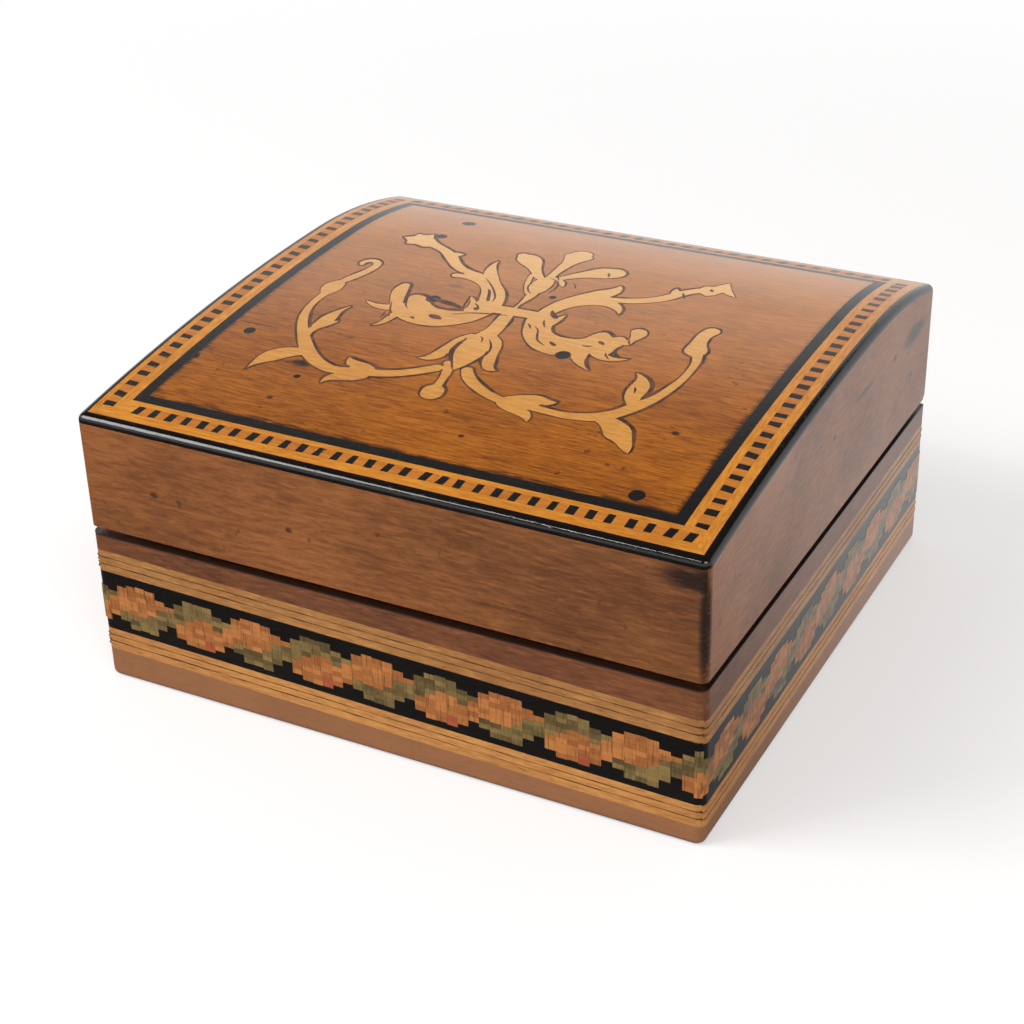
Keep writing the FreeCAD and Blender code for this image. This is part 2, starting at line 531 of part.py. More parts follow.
# Arabesque of light wood in the field. Strokes are centre lines of (x, y, half width) in millimetres
# on a field of the drawn size, and a half width of 0 is a pointed tip. Outlines are closed shapes.
DRAWN_FIELD = (85.2, 79.1)
STROKES = {
    "right_scroll": [
        (-1, -17, 0.9), (0.8, -19.3, 1), (3, -20.9, 0.9), (5.6, -22.2, 0.85), (8, -22.8, 0.9),
        (11.5, -22.9, 0.9), (15, -23.1, 0.75), (18, -23.2, 0.85), (21, -22.6, 1), (23.3, -21.6, 1.2),
        (25.2, -19.7, 1.1), (26.7, -17.3, 1.15), (28.2, -14.6, 0.85), (29.1, -11.5, 0.75),
        (29.7, -8, 0.65), (29.75, -5, 0.62), (29.5, -2.4, 0.7), (28.7, -0.3, 0.9),
    ],
    "right_scroll_head": [
        (28.8, -0.9, 0.6), (27.9, 1.3, 1.7), (27.6, 2.8, 1.3), (27.4, 4.2, 1.15), (27.4, 5.8, 1.15),
        (27.9, 7.5, 1.25),
    ],
    "right_inner_leaf": [
        (22.6, -8.7, 0), (24.2, -10.2, 0.8), (24.9, -12.6, 1.5), (25, -14.5, 1.4), (25.7, -16.8, 0.9),
    ],
    "right_low_leaf": [
        (23.8, -22.3, 1.2), (25.6, -23.3, 1.7), (27.1, -24.7, 2), (28.6, -26.2, 1.3),
        (29.8, -27.8, 0.8), (30.6, -29, 0),
    ],
    "right_stem_leaf_up": [
        (8.6, -22.2, 0.9), (10.8, -21.4, 1.25), (13, -21, 1.25), (14.6, -20.9, 0.7), (15.6, -20.4, 0),
    ],
    "right_stem_leaf_down": [(8.2, -23.4, 0.9), (10.6, -24.2, 1.1), (12.6, -25, 0.9), (13.8, -26.8, 0)],
    "left_scroll": [
        (-5.6, -18, 1), (-8.5, -20.3, 0.95), (-11, -21.7, 0.95), (-14, -22.6, 1), (-17, -23.2, 1),
        (-20.2, -23.8, 1), (-23.2, -22.9, 1.1), (-26, -21, 1.2), (-28.5, -18.3, 1.1),
        (-30.8, -15.3, 0.9), (-32.8, -12, 0.8), (-34, -8.5, 0.65), (-34.3, -5.5, 0.65),
        (-34.2, -3, 0.8),
    ],
    "left_knot": [(-34.2, -3.4, 0.7), (-34.3, -0.4, 1.7), (-34, 1.8, 0.6)],
    "left_hook": [
        (-33.9, 1.4, 0.6), (-33.2, 3.6, 0.85), (-32.4, 5.8, 0.8), (-31.9, 8.2, 0.75), (-32.3, 10, 0.7),
        (-33.3, 10.5, 0.65), (-34.3, 9.9, 0.6), (-34.5, 8.7, 0.5),
    ],
    "left_inner_leaf": [
        (-28, -5.9, 0.2), (-28.9, -8.5, 0.75), (-29.1, -11, 1.3), (-29.3, -12.5, 1.1),
        (-29.7, -14.5, 0.75), (-29.5, -16, 0.6),
    ],
    "left_inner_blade": [(-29.6, -14.2, 0.5), (-28.7, -12.4, 0.8), (-27.8, -11.4, 0.5), (-27.1, -10.4, 0)],
    "left_low_leaf": [
        (-27.2, -20.9, 1), (-29.8, -22.2, 1.6), (-31.4, -23.9, 1.6), (-32.4, -26, 0.7), (-32.9, -28.6, 0),
    ],
    "left_stem_leaf_up": [(-15, -22, 1), (-17, -21.6, 1.2), (-18.7, -20.9, 0.8), (-19.6, -19.7, 0)],
    "left_stem_leaf_down": [(-15, -23.8, 1), (-17.5, -24.9, 1.2), (-19.3, -26, 0.8), (-19.9, -27.9, 0)],
    "bud": [
        (-3.3, -6, 1.5), (-3.3, -8, 2.2), (-3.4, -11.5, 2.65), (-3.3, -14, 2.1), (-3, -16.2, 1),
        (-2.9, -17.7, 0),
    ],
    "stem": [(-3.5, 1, 1), (-3.3, -1.5, 1.2), (-3.1, -4, 1.3), (-3.2, -6, 1.5)],
    "bud_right_petal": [
        (-1.7, -6.6, 0.5), (-0.2, -9.2, 0.8), (0.3, -11.8, 0.9), (0.9, -13.9, 1), (1.7, -15.2, 0.8),
        (3.2, -15.6, 0),
    ],
    "bud_left_petal": [
        (-5.5, -7.2, 0.5), (-6.7, -9.6, 0.7), (-7, -12, 0.9), (-7.3, -14.2, 1.1), (-8.2, -15.6, 0.8),
        (-9.9, -16.2, 0),
    ],
    "ball_stalk": [(-4.6, -16.2, 0.8), (-3.7, -18.2, 0.8), (-3.2, -20.5, 0.65), (-3, -22.9, 0.8)],
    "ball": [(-2.9, -24, 1.75), (-2.8, -24.5, 1.75)],
    "bar": [(-8, 1.9, 1.4), (-3, 2.2, 1.3), (2.5, 2.3, 1.3)],
    "left_horn": [
        (-7.4, 2.2, 1.8), (-7.4, 4, 1.4), (-7.9, 6, 1.2), (-9.1, 8, 1.2), (-10.7, 10, 1.1),
        (-12.2, 12, 1.2), (-13.4, 14, 1.05), (-14.1, 16, 0.65), (-14.3, 18.8, 0),
    ],
    "left_volute": [
        (-9, 2.6, 1), (-9.9, 4.8, 0.6), (-10.7, 6.9, 0.6), (-12, 8.9, 0.65), (-13.8, 10.2, 0.7),
        (-15.8, 10.8, 0.7), (-17.9, 10.7, 0.8),
    ],
    "left_branch": [
        (-13.2, 11.4, 1), (-15.2, 12.1, 1), (-17.2, 12.7, 0.9), (-19.2, 13.8, 0.95), (-20.9, 15.4, 1),
        (-22.4, 17.1, 1.1), (-24.1, 18.6, 0.95), (-26, 19.7, 0.9), (-28, 20.6, 1.2),
    ],
    "left_branch_bud": [(-22.9, 17.6, 0.9), (-21.7, 18.3, 0.75), (-20.7, 18.7, 0)],
    "right_horn": [
        (1.6, 3.2, 1.2), (2, 6.2, 1.1), (3.4, 9, 1.3), (5.4, 11.6, 1.5), (7.2, 13.7, 1.5),
        (8.2, 15.5, 1), (8.1, 17.5, 0),
    ],
    "right_volute": [
        (2.3, 4.8, 1), (4, 7.9, 1), (6.4, 10, 1.2), (9, 10.6, 1.2), (11.1, 9.6, 0.8), (12.3, 7.5, 0),
    ],
    "right_branch": [
        (7.6, 11.8, 0.9), (10.4, 12.2, 0.9), (13, 13.2, 0.95), (15.2, 14.6, 1), (16.9, 16.4, 1.05),
        (18, 18.2, 0.95), (19.4, 19.9, 0.9), (20.8, 21, 1),
    ],
    "right_branch_bud": [(17.6, 17.6, 0.8), (17, 18.9, 0.65), (16.7, 20, 0)],
    "top_bud": [
        (-3.6, 15.9, 0.5), (-3.6, 14.3, 1.5), (-3.6, 12.3, 1.75), (-3.4, 10.4, 1.3), (-3.3, 9.2, 0.6),
    ],
    "top_bud_stem": [(-3.4, 9.6, 0.85), (-3.3, 8, 0.75), (-3.4, 6, 0.4), (-3.5, 3.2, 0.3)],
    "left_sepal": [(-6.7, 15.7, 0.4), (-6.1, 13, 0.45), (-5.2, 10.8, 0.45), (-4.2, 9, 0.4)],
    "right_sepal": [(-2.7, 15.8, 0.5), (-1.1, 14.7, 0.65), (0, 13.2, 0)],
    "top_petal": [
        (-3.3, 27.1, 1.8), (-3.3, 25.8, 2.4), (-3.4, 23.8, 1.6), (-3.5, 21.2, 1), (-3.6, 18.6, 0.75),
        (-3.6, 16, 0.7),
    ],
    "left_petal": [
        (-11.8, 22.4, 0.9), (-10.5, 21.5, 1.9), (-9, 20.1, 1.8), (-7.8, 18.6, 1.2), (-6.7, 17.1, 0.9),
        (-5.2, 15.2, 0.8),
    ],
    "right_petal": [
        (-2.4, 15.4, 0.6), (-0.4, 17.8, 0.9), (1.4, 19.4, 1.4), (3.4, 20.8, 2.1), (5.1, 21.6, 1.9),
    ],
    "left_leaf": [
        (-23.7, 4.2, 0.8), (-23.4, 2, 1.25), (-22.5, -0.4, 1.15), (-21.3, -2.8, 1), (-19.8, -4.8, 0.8),
    ],
    "left_barb": [(-21.5, -3.4, 1), (-23.5, -3.9, 0.8), (-25.3, -3.6, 0.5), (-26.9, -2.7, 0)],
    "left_tail": [(-20, -4.6, 0.7), (-20.2, -7, 0.7), (-20.8, -9, 0.4), (-21.8, -10, 0)],
    "left_fin": [(-9.9, 0, 0.8), (-10.6, 2.4, 0.8), (-11.9, 4.6, 0)],
    "right_spike": [(12.2, -5, 1.5), (12.8, -7.6, 1.2), (14.2, -9.4, 0.6), (16, -10.8, 0)],
    "right_barb": [(15, -5.4, 1.2), (17.1, -6.3, 0.75), (18.7, -6, 0.4), (20.2, -5.2, 0)],
    "right_fin": [(3.9, 0.4, 0.75), (4.5, 2.6, 0.55), (5, 4.4, 0)],
}
LEAFY_OUTLINES = {
    "left_leafy_body": [
        (-6.4, 1.2), (-9.4, 0.2), (-11.2, -0.8), (-13, -1.2), (-15.1, -1), (-16.4, -0.3), (-17.3, 0.7),
        (-18.1, 1.5), (-19.2, 1.9), (-20.4, 1.8), (-21, 0.9), (-20.7, -0.6), (-20.9, -3), (-20.4, -5),
        (-19.2, -6.1), (-17.5, -6.8), (-14.7, -7.1), (-11.8, -6.5), (-9.4, -5), (-7.5, -3.1),
        (-6.6, -1.2),
    ],
    "right_leafy_body": [
        (0.2, 1.4), (3, 1.3), (4.1, 1), (4.9, -0.8), (5.8, -2), (7.2, -2.6), (9.1, -2.6), (10.7, -2),
        (11.5, -0.5), (12.2, 0.7), (13.2, 1.2), (14.2, 0.6), (14.9, 0.1), (15.5, 0.6), (16.4, 0.7),
        (17.2, 0), (17.5, -1.2), (16.9, -2.7), (16.7, -4.4), (16, -5.9), (14.4, -6), (10.8, -7),
        (8.7, -8.3), (6.8, -8.1), (4.9, -7.4), (3, -5.8), (1.5, -3.9), (0.6, -1.7),
    ],
    "right_bud": [
        (16.6, 3.5), (17.2, 4.1), (18.4, 4.1), (19.2, 3.1), (19, 1.4), (18.4, -0.1), (17.9, -1.5),
        (17.1, -1.6), (17.2, -0.2), (17, 1.8),
    ],
}
FLOWER_OUTLINES = {
    "left_flower": [
        (-27.4, 21.6), (-29, 23), (-29.8, 24.7), (-31, 23.7), (-32.3, 23.9), (-32.5, 22.5),
        (-33.9, 21.4), (-32.6, 20.4), (-32, 19), (-30.4, 19.4), (-28.8, 18.9), (-27.2, 19.6),
    ],
    "right_flower": [
        (19.8, 21.2), (20.4, 22.8), (21.7, 23.3), (23.4, 25.8), (24.1, 24.3), (25, 22.6), (26.5, 20.4),
        (24.8, 20.9), (23.9, 21.5), (23.1, 19.9), (22, 19.1), (20.7, 19.8),
    ],
}
# Slit of field wood left standing inside a leaf
EYES = {
    "left_eye": [(-14.8, -3.7, 0.15), (-13.7, -3.9, 0.6), (-12.6, -4.2, 0.15)],
}
# Dark plugs in the face: x, y and share of the largest plug's radius
PLUGS = [
    (35.8, -37.4, 1.0), (10.3, -7.8, 1.0), (-27.8, 33.2, 1.0), (-28.3, 24.4, 0.85), (-17, 1.5, 1.0),
    (-38.7, -18.2, 0.8), (-42.3, -27.6, 0.5), (-24.2, -27.4, 0.45), (0.2, 9.2, 0.5),
]

field_size = (value_of(f"2 * ({HALF_W} - {FIELD_IN})"), value_of(f"2 * ({HALF_D} - {FIELD_IN})"))
stretch_x, stretch_y = (made / drawn for made, drawn in zip(field_size, DRAWN_FIELD))
slice_low = value_of(LID_RIM)
slice_high = value_of(f"{ABOVE_ALL} - {LID_RIM}")


def on_field(x, y):
    """A drawn point on the field as it is now, below the face."""
    return Vector(x * stretch_x, y * stretch_y, slice_low)


def curve(points):
    spline = Part.BSplineCurve()
    spline.interpolate(points)
    return spline.toShape()


def stroke_wire(stroke):
    """The outline of a stroke: two smooth sides, joined by a point or a round end."""
    centres = [on_field(x, y) for x, y, half in stroke]
    last = len(stroke) - 1
    lefts, rights, ways = [], [], []
    for i, centre in enumerate(centres):
        way = centres[min(i + 1, last)] - centres[max(i - 1, 0)]
        way.normalize()
        side = Z_AXIS.cross(way) * stroke[i][2] * stretch_y
        ways.append(way)
        lefts.append(centre + side)
        rights.append(centre - side)
    edges = [curve(lefts)]
    if stroke[last][2] > 0:
        nose = centres[last] + ways[last] * stroke[last][2] * stretch_y
        edges.append(Part.Arc(lefts[last], nose, rights[last]).toShape())
    edges.append(curve(rights[::-1]))
    if stroke[0][2] > 0:
        nose = centres[0] - ways[0] * stroke[0][2] * stretch_y
        edges.append(Part.Arc(rights[0], nose, lefts[0]).toShape())
    return Part.Wire(edges)


def leafy_wire(points):
    spline = Part.BSplineCurve()
    spline.interpolate([on_field(x, y) for x, y in points], PeriodicFlag=True)
    return Part.Wire([spline.toShape()])


def flower_wire(points):
    corners = [on_field(x, y) for x, y in points]
    return Part.makePolygon(corners + corners[:1])


def upright(wire):
    """The tall prism that stands on an outline, through the face of the lid."""
    return Part.Face(wire).extrude(Vector(0, 0, slice_high))


def joined(shapes):
    return shapes[0].multiFuse(shapes[1:]).removeSplitter()


wires = [stroke_wire(stroke) for stroke in STROKES.values()]
wires += [leafy_wire(points) for points in LEAFY_OUTLINES.values()]
wires += [flower_wire(points) for points in FLOWER_OUTLINES.values()]
ornament = joined([upright(wire) for wire in wires])
ornament = ornament.cut(joined([upright(stroke_wire(stroke)) for stroke in EYES.values()]))

plugs = []
for i, (x, y, share) in enumerate(PLUGS):
    place = on_field(x, y)
    plug = doc.addObject("Part::Cylinder", f"plug_{i}")
    plug.setExpression("Radius", f"sizes.plug_radius * {share}")
    plug.setExpression("Height", ABOVE_ALL)
    plug.Placement = FreeCAD.Placement(Vector(place.x, place.y, 0), FreeCAD.Rotation())
    plugs.append(plug)
plug_rods = group("plug_rods", plugs)
node(group("plug_set", [common(f"plug_in_face_{i}", field, plug) for i, plug in enumerate(plugs)]),
     "face_plugs")
doc.recompute()
arabesque = doc.addObject("Part::Feature", "arabesque")
arabesque.Shape = ornament.common(field.Shape).cut(plug_rods.Shape)
arabesque.Placement = FreeCAD.Placement()
node(arabesque, "arabesque_inlay")
node(cut("field_face", field, plug_rods, arabesque), "field_veneer")

# Lid lining, which meets the base lining just above the base rim
lid_lined_inset = f"({LID_WALL} + sizes.lining_thick)"
lid_lining_z = (f"{LINING_TOP} + sizes.lining_meet", TOP_BOARD)
lid_lining_block = inset_block("lid_lining_block", LID_WALL, lid_lining_z)
lid_lining = cut("lid_lining", lid_lining_block, inset_block("lid_lined", lid_lined_inset))
for label, prism in prisms.items():
    node(common(f"{label}_lid_lining", lid_lining, prism), f"lid_{label}_lining")
node(inset_block("lid_paper", lid_lined_inset, (f"{TOP_BOARD} - sizes.paper", TOP_BOARD)), "ceiling_lining")

# Two brass butt hinges: the base leaf has the two outer knuckles, the lid leaf the middle one
THIRD = "(sizes.hinge_long / 3)"
HALF_HINGE = "(sizes.hinge_long / 2)"
HALF_GAP = "(sizes.knuckle_gap / 2)"
KNUCKLES = {
    "base": [(f"-{HALF_HINGE}", f"-{THIRD} / 2 - {HALF_GAP}"), (f"{THIRD} / 2 + {HALF_GAP}", HALF_HINGE)],
    "lid": [(f"{HALF_GAP} - {THIRD} / 2", f"{THIRD} / 2 - {HALF_GAP}")],
}
BORES = {"base": "sizes.pin_radius", "lid": "sizes.pin_radius + sizes.pin_clear"}
for side, middle in HINGES:
    start = f"{middle} - {HALF_HINGE}"
    end = f"{middle} + {HALF_HINGE}"
    for leaf, seat, way in LEAVES:
        name = f"{side}_{leaf}_leaf"
        free = f"({seat} - {way} * sizes.leaf_thick)"
        z = (seat, free) if way == "-1" else (free, seat)
        pieces = [box(f"{name}_plate", (start, end), (PLATE_FRONT, PLATE_BACK), z)]
        for i, (low, high) in enumerate(KNUCKLES[leaf]):
            x = (f"{middle} + {low}", f"{middle} + {high}")
            pieces.append(box(f"{name}_tab_{i}", x, (PLATE_BACK, HINGE_Y), z))
            pieces.append(hinge_rod(f"{name}_knuckle_{i}", *x, "sizes.knuckle_radius"))
        bore = hinge_rod(f"{name}_bore", start, end, BORES[leaf])
        node(cut(name, fuse(f"{name}_blank", pieces), bore, screw_holes[leaf]), f"{leaf}_hinge_leaf_{side}")
    node(hinge_rod(f"{side}_pin", start, end, "sizes.pin_radius"), f"hinge_pin_{side}")
for leaf, seat, way in LEAVES:
    node(group(f"{leaf}_screw_set", screws[leaf]), f"{leaf}_hinge_screws")

# Check every object, then write each piece to a file of its own
doc.recompute()
failed = [item.Name for item in doc.Objects if {"Invalid", "Error"} & set(item.State)]
if failed:
    raise RuntimeError(f"objects failed: {failed}")
for piece in nodes:
    if piece.Shape.isNull() or not piece.Shape.isValid() or not piece.Shape.Solids:
        raise RuntimeError(f"bad shape: {piece.Label}")
os.makedirs("parts", exist_ok=True)
for piece in nodes:
    piece.Shape.exportStep(f"parts/{piece.Label}.step")
print(len(nodes), "pieces written")
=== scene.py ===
# %% [markdown]
# # A walnut trick box with scroll inlay
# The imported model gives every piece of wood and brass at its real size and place. This lesson dresses
# those pieces: it lights them, gives each wood its own grain and varnish, and lays in the small work that
# is too fine for the construction, such as the mosaic's tesserae and the ladder banding's squares.

# %% The frame
import math
import random

import bpy
from mathutils import Matrix, Vector
from mathutils.bvhtree import BVHTree
from mathutils.noise import noise as wander


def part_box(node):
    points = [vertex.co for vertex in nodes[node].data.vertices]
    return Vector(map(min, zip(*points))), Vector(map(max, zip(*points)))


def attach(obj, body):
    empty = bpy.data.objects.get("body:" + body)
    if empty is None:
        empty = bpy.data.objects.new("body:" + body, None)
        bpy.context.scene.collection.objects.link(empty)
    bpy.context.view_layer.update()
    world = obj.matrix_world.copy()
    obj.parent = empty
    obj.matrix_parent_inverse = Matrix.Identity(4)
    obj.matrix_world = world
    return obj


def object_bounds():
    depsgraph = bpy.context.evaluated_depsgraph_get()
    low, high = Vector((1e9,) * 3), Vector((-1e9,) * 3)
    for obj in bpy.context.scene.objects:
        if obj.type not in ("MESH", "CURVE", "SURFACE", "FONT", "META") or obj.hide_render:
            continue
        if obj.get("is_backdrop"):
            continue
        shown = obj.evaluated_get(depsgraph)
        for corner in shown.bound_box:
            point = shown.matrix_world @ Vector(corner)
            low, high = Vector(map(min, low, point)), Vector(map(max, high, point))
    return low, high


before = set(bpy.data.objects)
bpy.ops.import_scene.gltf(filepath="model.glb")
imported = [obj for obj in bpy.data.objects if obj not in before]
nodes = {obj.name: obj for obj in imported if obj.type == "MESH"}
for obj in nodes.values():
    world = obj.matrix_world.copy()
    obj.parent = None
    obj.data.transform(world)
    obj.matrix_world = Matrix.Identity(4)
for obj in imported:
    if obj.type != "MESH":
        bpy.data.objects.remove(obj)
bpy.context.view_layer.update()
MM = 0.001

# %% [markdown]
# ## Camera
# The photograph is taken from the front right and above with a fairly long lens. A camera could be aimed
# with a constraint, but then it couldn't lean. So its matrix is built from three angles: the way around
# the box, the way above it, and a small roll.

# %% Camera
CAMERA_PLACE = Vector((133.735, -255.935, 180.056)) * MM
CAMERA_AROUND = math.radians(28.151)
CAMERA_ABOVE = math.radians(29.442)
CAMERA_ROLL = math.radians(-1.599)
LENS = 72.0
CLIP_START = 0.01

back_way = Vector((
    math.sin(CAMERA_AROUND) * math.cos(CAMERA_ABOVE),
    -math.cos(CAMERA_AROUND) * math.cos(CAMERA_ABOVE),
    math.sin(CAMERA_ABOVE),
))
right_way = Vector((math.cos(CAMERA_AROUND), math.sin(CAMERA_AROUND), 0))
up_way = back_way.cross(right_way)
facing = Matrix((right_way, up_way, back_way)).transposed()
facing = facing @ Matrix.Rotation(CAMERA_ROLL, 3, "Z")
camera_data = bpy.data.cameras.new("camera")
camera_data.lens = LENS
camera_data.clip_start = CLIP_START
camera = bpy.data.objects.new("camera", camera_data)
camera.matrix_world = Matrix.Translation(CAMERA_PLACE) @ facing.to_4x4()
bpy.context.scene.collection.objects.link(camera)
bpy.context.scene.camera = camera
print("camera", round(CAMERA_PLACE.length, 3), "m from the box")

# %% [markdown]
# ## Shader maths in plain Python
# Node trees are wired by hand in the editor, but in a script the same maths reads better as expressions.
# A small class wraps one socket: an operator adds a Math node, and `node` adds any other node.

# %% Socket maths
MIXED_COLOUR = 2


class Wire:
    """One output socket of a node tree, or its shader, which maths can be done with."""

    def __init__(self, tree, socket):
        self.tree = tree
        self.socket = socket

    def node(self, kind, settings=None, output=0, **values):
        return add_node(self.tree, kind, settings, output, **values)

    def math(self, operation, other, swap=False):
        pair = (other, self) if swap else (self, other)
        return self.node("ShaderNodeMath", {"operation": operation}, In0=pair[0], In1=pair[1])

    def __add__(self, other):
        return self.math("ADD", other)

    def __sub__(self, other):
        return self.math("SUBTRACT", other)

    def __mul__(self, other):
        return self.math("MULTIPLY", other)

    def __rsub__(self, other):
        return self.math("SUBTRACT", other, swap=True)

    __radd__ = __add__
    __rmul__ = __mul__

    def smooth(self, low, high):
        """0 below low, 1 above high, with a soft step between; low may be above high."""
        settings = {"interpolation_type": "SMOOTHSTEP"}
        return self.node("ShaderNodeMapRange", settings, Value=self, From_Min=low, From_Max=high)

    def mix(self, low, high):
        """A colour between two others, with this value as the share of the second."""
        settings = {"data_type": "RGBA", "clamp_factor": True}
        return self.node("ShaderNodeMix", settings, MIXED_COLOUR, In0=self, In6=low, In7=high)


def add_node(tree, kind, settings=None, output=0, **values):
    """Add a node, set it up, then fill its sockets by name (_ for a space) or by number (In0)."""
    made = tree.nodes.new(kind)
    for key, setting in (settings or {}).items():
        setattr(made, key, setting)
    for key, value in values.items():
        numbered = key[2:].isdigit()
        socket = made.inputs[int(key[2:]) if numbered else key.replace("_", " ")]
        if isinstance(value, Wire):
            tree.links.new(value.socket, socket)
        elif isinstance(value, tuple) and len(value) == 3 and socket.type == "RGBA":
            socket.default_value = (*value, 1.0)
        else:
            socket.default_value = value
    return Wire(tree, made.outputs[output])


print("socket maths ready")

# %% [markdown]
# ## Places and noise
# Every pattern on the box is a function of the place on the piece, so that it stays on the wood when the
# lid opens. Places are turned to millimetres first: then the numbers below can be read off a ruler.

# %% Helpers for materials
OBJECT_PLACE = 3
AXES = "xyz"


def new_material(name):
    material = bpy.data.materials.new(name)
    material.use_nodes = True
    tree = material.node_tree
    tree.nodes.clear()
    return material, tree


def surface(tree, shader):
    made = tree.nodes.new("ShaderNodeOutputMaterial")
    tree.links.new(shader.socket, made.inputs["Surface"])


def millimetres(tree):
    """Places on the piece at rest, in millimetres."""
    place = add_node(tree, "ShaderNodeTexCoord", output=OBJECT_PLACE)
    return place.node("ShaderNodeVectorMath", {"operation": "SCALE"}, In0=place, Scale=1 / MM)


def coordinate(place, axis):
    """One coordinate of a place."""
    return place.node("ShaderNodeSeparateXYZ", None, AXES.index(axis), Vector=place)


def distance(place):
    """How far a place is from the middle."""
    return place.node("ShaderNodeVectorMath", {"operation": "LENGTH"}, 1, In0=place)


def stretched(place, per_mm, shift=(0.0, 0.0, 0.0)):
    """The place scaled by its own number of steps per millimetre along each axis."""
    settings = {"operation": "MULTIPLY_ADD"}
    return place.node("ShaderNodeVectorMath", settings, In0=place, In1=per_mm, In2=shift)


def noise(place, detail=3.0, roughness=0.55, distortion=0.0):
    return place.node(
        "ShaderNodeTexNoise", None, 0,
        Vector=place, Scale=1.0, Detail=detail, Roughness=roughness, Distortion=distortion,
    )


def linear(red, green, blue):
    """A colour written as on a screen, turned to the linear light that a shader wants."""
    return tuple((part / 255 / 12.92) if part <= 10 else ((part / 255 + 0.055) / 1.055) ** 2.4
                 for part in (red, green, blue))


print("mid grey on a screen is", round(linear(128, 128, 128)[0], 3), "in linear light")

# %% [markdown]
# ## White paper
# The box stands on a sheet of white paper. A plain diffuse floor would come out grey, so to the camera it
# also glows a little: it reads as white paper and still keeps the shadow. In the varnish the sheet is
# bright behind the box and dim in front of it, where the room is darker.

# %% Floor
FLOOR_SIZE = 6.0
FLOOR_GLOW = 0.42
SHEET_FADE = (170.0, 420.0)
SHEET_FRONT = (-70.0, 80.0)
PAPER = (0.93, 0.912, 0.904)
DIM_SHEET = (0.08, 0.08, 0.08)
WHITE = (1.0, 1.0, 1.0)
CAMERA_RAY, GLOSSY_RAY, THROUGH_RAY = 0, 3, 6

floor_mesh = bpy.data.meshes.new("floor")
half_floor = FLOOR_SIZE / 2
floor_mesh.from_pydata(
    [(-half_floor, -half_floor, 0), (half_floor, -half_floor, 0),
     (half_floor, half_floor, 0), (-half_floor, half_floor, 0)],
    [], [(0, 1, 2, 3)],
)
floor = bpy.data.objects.new("floor", floor_mesh)
bpy.context.scene.collection.objects.link(floor)
floor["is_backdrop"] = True


def ray_is(tree, kind):
    """1 for light that is traced for one purpose, such as the camera's own rays."""
    return add_node(tree, "ShaderNodeLightPath", output=kind)


def seen_directly(tree):
    """1 for rays that show the background itself or its mirror image, 0 for light on surfaces."""
    mirrored = ray_is(tree, GLOSSY_RAY).math("MAXIMUM", ray_is(tree, THROUGH_RAY))
    return ray_is(tree, CAMERA_RAY).math("MAXIMUM", mirrored)


floor_material, tree = new_material("white_paper")
place = millimetres(tree)
paper = add_node(tree, "ShaderNodeBsdfDiffuse", Color=PAPER)
camera_ray = ray_is(tree, CAMERA_RAY)
mirrored_sheet = coordinate(place, "y").smooth(*SHEET_FRONT).mix(DIM_SHEET, WHITE)
glow = add_node(tree, "ShaderNodeEmission", Color=camera_ray.mix(mirrored_sheet, WHITE), Strength=1.0)
far_share = distance(place).smooth(*SHEET_FADE) * (1 - FLOOR_GLOW) + FLOOR_GLOW
share = camera_ray * far_share + (seen_directly(tree) - camera_ray)
surface(tree, add_node(tree, "ShaderNodeMixShader", In0=share, In1=paper, In2=glow))
floor_mesh.materials.append(floor_material)
print("paper floor", FLOOR_SIZE, "m square")

# %% [markdown]
# ## Room
# The background is white to the camera. What the varnish mirrors is a room: white low down, where the paper
# sweeps up behind the box, and dark towards the ceiling. That is why the lid shines only at its back.

# %% World
WORLD_FILL = 0.55
DARK_CEILING = (0.04, 0.04, 0.042)
CEILING_EDGE = (0.6, 0.45)

world = bpy.data.worlds.new("studio")
world.use_nodes = True
tree = world.node_tree
tree.nodes.clear()
direction = add_node(tree, "ShaderNodeTexCoord")
sky = coordinate(direction, "z").smooth(*CEILING_EDGE).mix(DARK_CEILING, WHITE)
shown = ray_is(tree, CAMERA_RAY).mix(sky, WHITE)
colour = seen_directly(tree).mix((WORLD_FILL, WORLD_FILL, WORLD_FILL), shown)
light = add_node(tree, "ShaderNodeBackground", Color=colour, Strength=1.0)
made = tree.nodes.new("ShaderNodeOutputWorld")
tree.links.new(light.socket, made.inputs["Surface"])
bpy.context.scene.world = world
bpy.context.scene.view_settings.view_transform = "Standard"
print("room fills with", WORLD_FILL, "of white")

# %% [markdown]
# ## Lamps
# Point lamps would be simple, but their shadows are hard. Two soft boxes light the wood instead, the
# stronger one from the left, so a soft shadow falls to the right. A small strip light does little but
# draw the bright line along the black edge of the lid.


# %% Lamps
def soft_light(name, place, wide, high, power):
    """A soft box that faces the box on the table."""
    data = bpy.data.lights.new(name, "AREA")
    data.shape = "RECTANGLE"
    data.size = wide
    data.size_y = high
    data.energy = power
    lamp = bpy.data.objects.new(name, data)
    lamp.location = place
    lamp.rotation_euler = (-Vector(place)).to_track_quat("-Z", "Y").to_euler()
    bpy.context.scene.collection.objects.link(lamp)


soft_light("left_soft_box", (-0.75, -0.55, 0.85), 0.55, 0.55, 9.0)
soft_light("front_soft_box", (0.6, -0.65, 1.0), 0.5, 0.5, 4.6)
soft_light("edge_strip_light", (-0.34, -0.62, 0.96), 0.24, 0.06, 1.0)
print("studio with", len(bpy.data.lights), "lamps")

# %% [markdown]
# ## Grain and varnish
# Grain is noise that is stretched along one axis of the piece. Every wood here ends in the same old
# shellac, so one function makes that surface, and a height may dent it a little, as pores do.

# %% Grain and varnish
DENT_DEPTH = 0.1 * MM


def grain_scale(axis, along, across):
    """Steps per millimetre, long along the grain's axis and short across it."""
    return tuple(along if letter == axis else across for letter in AXES)


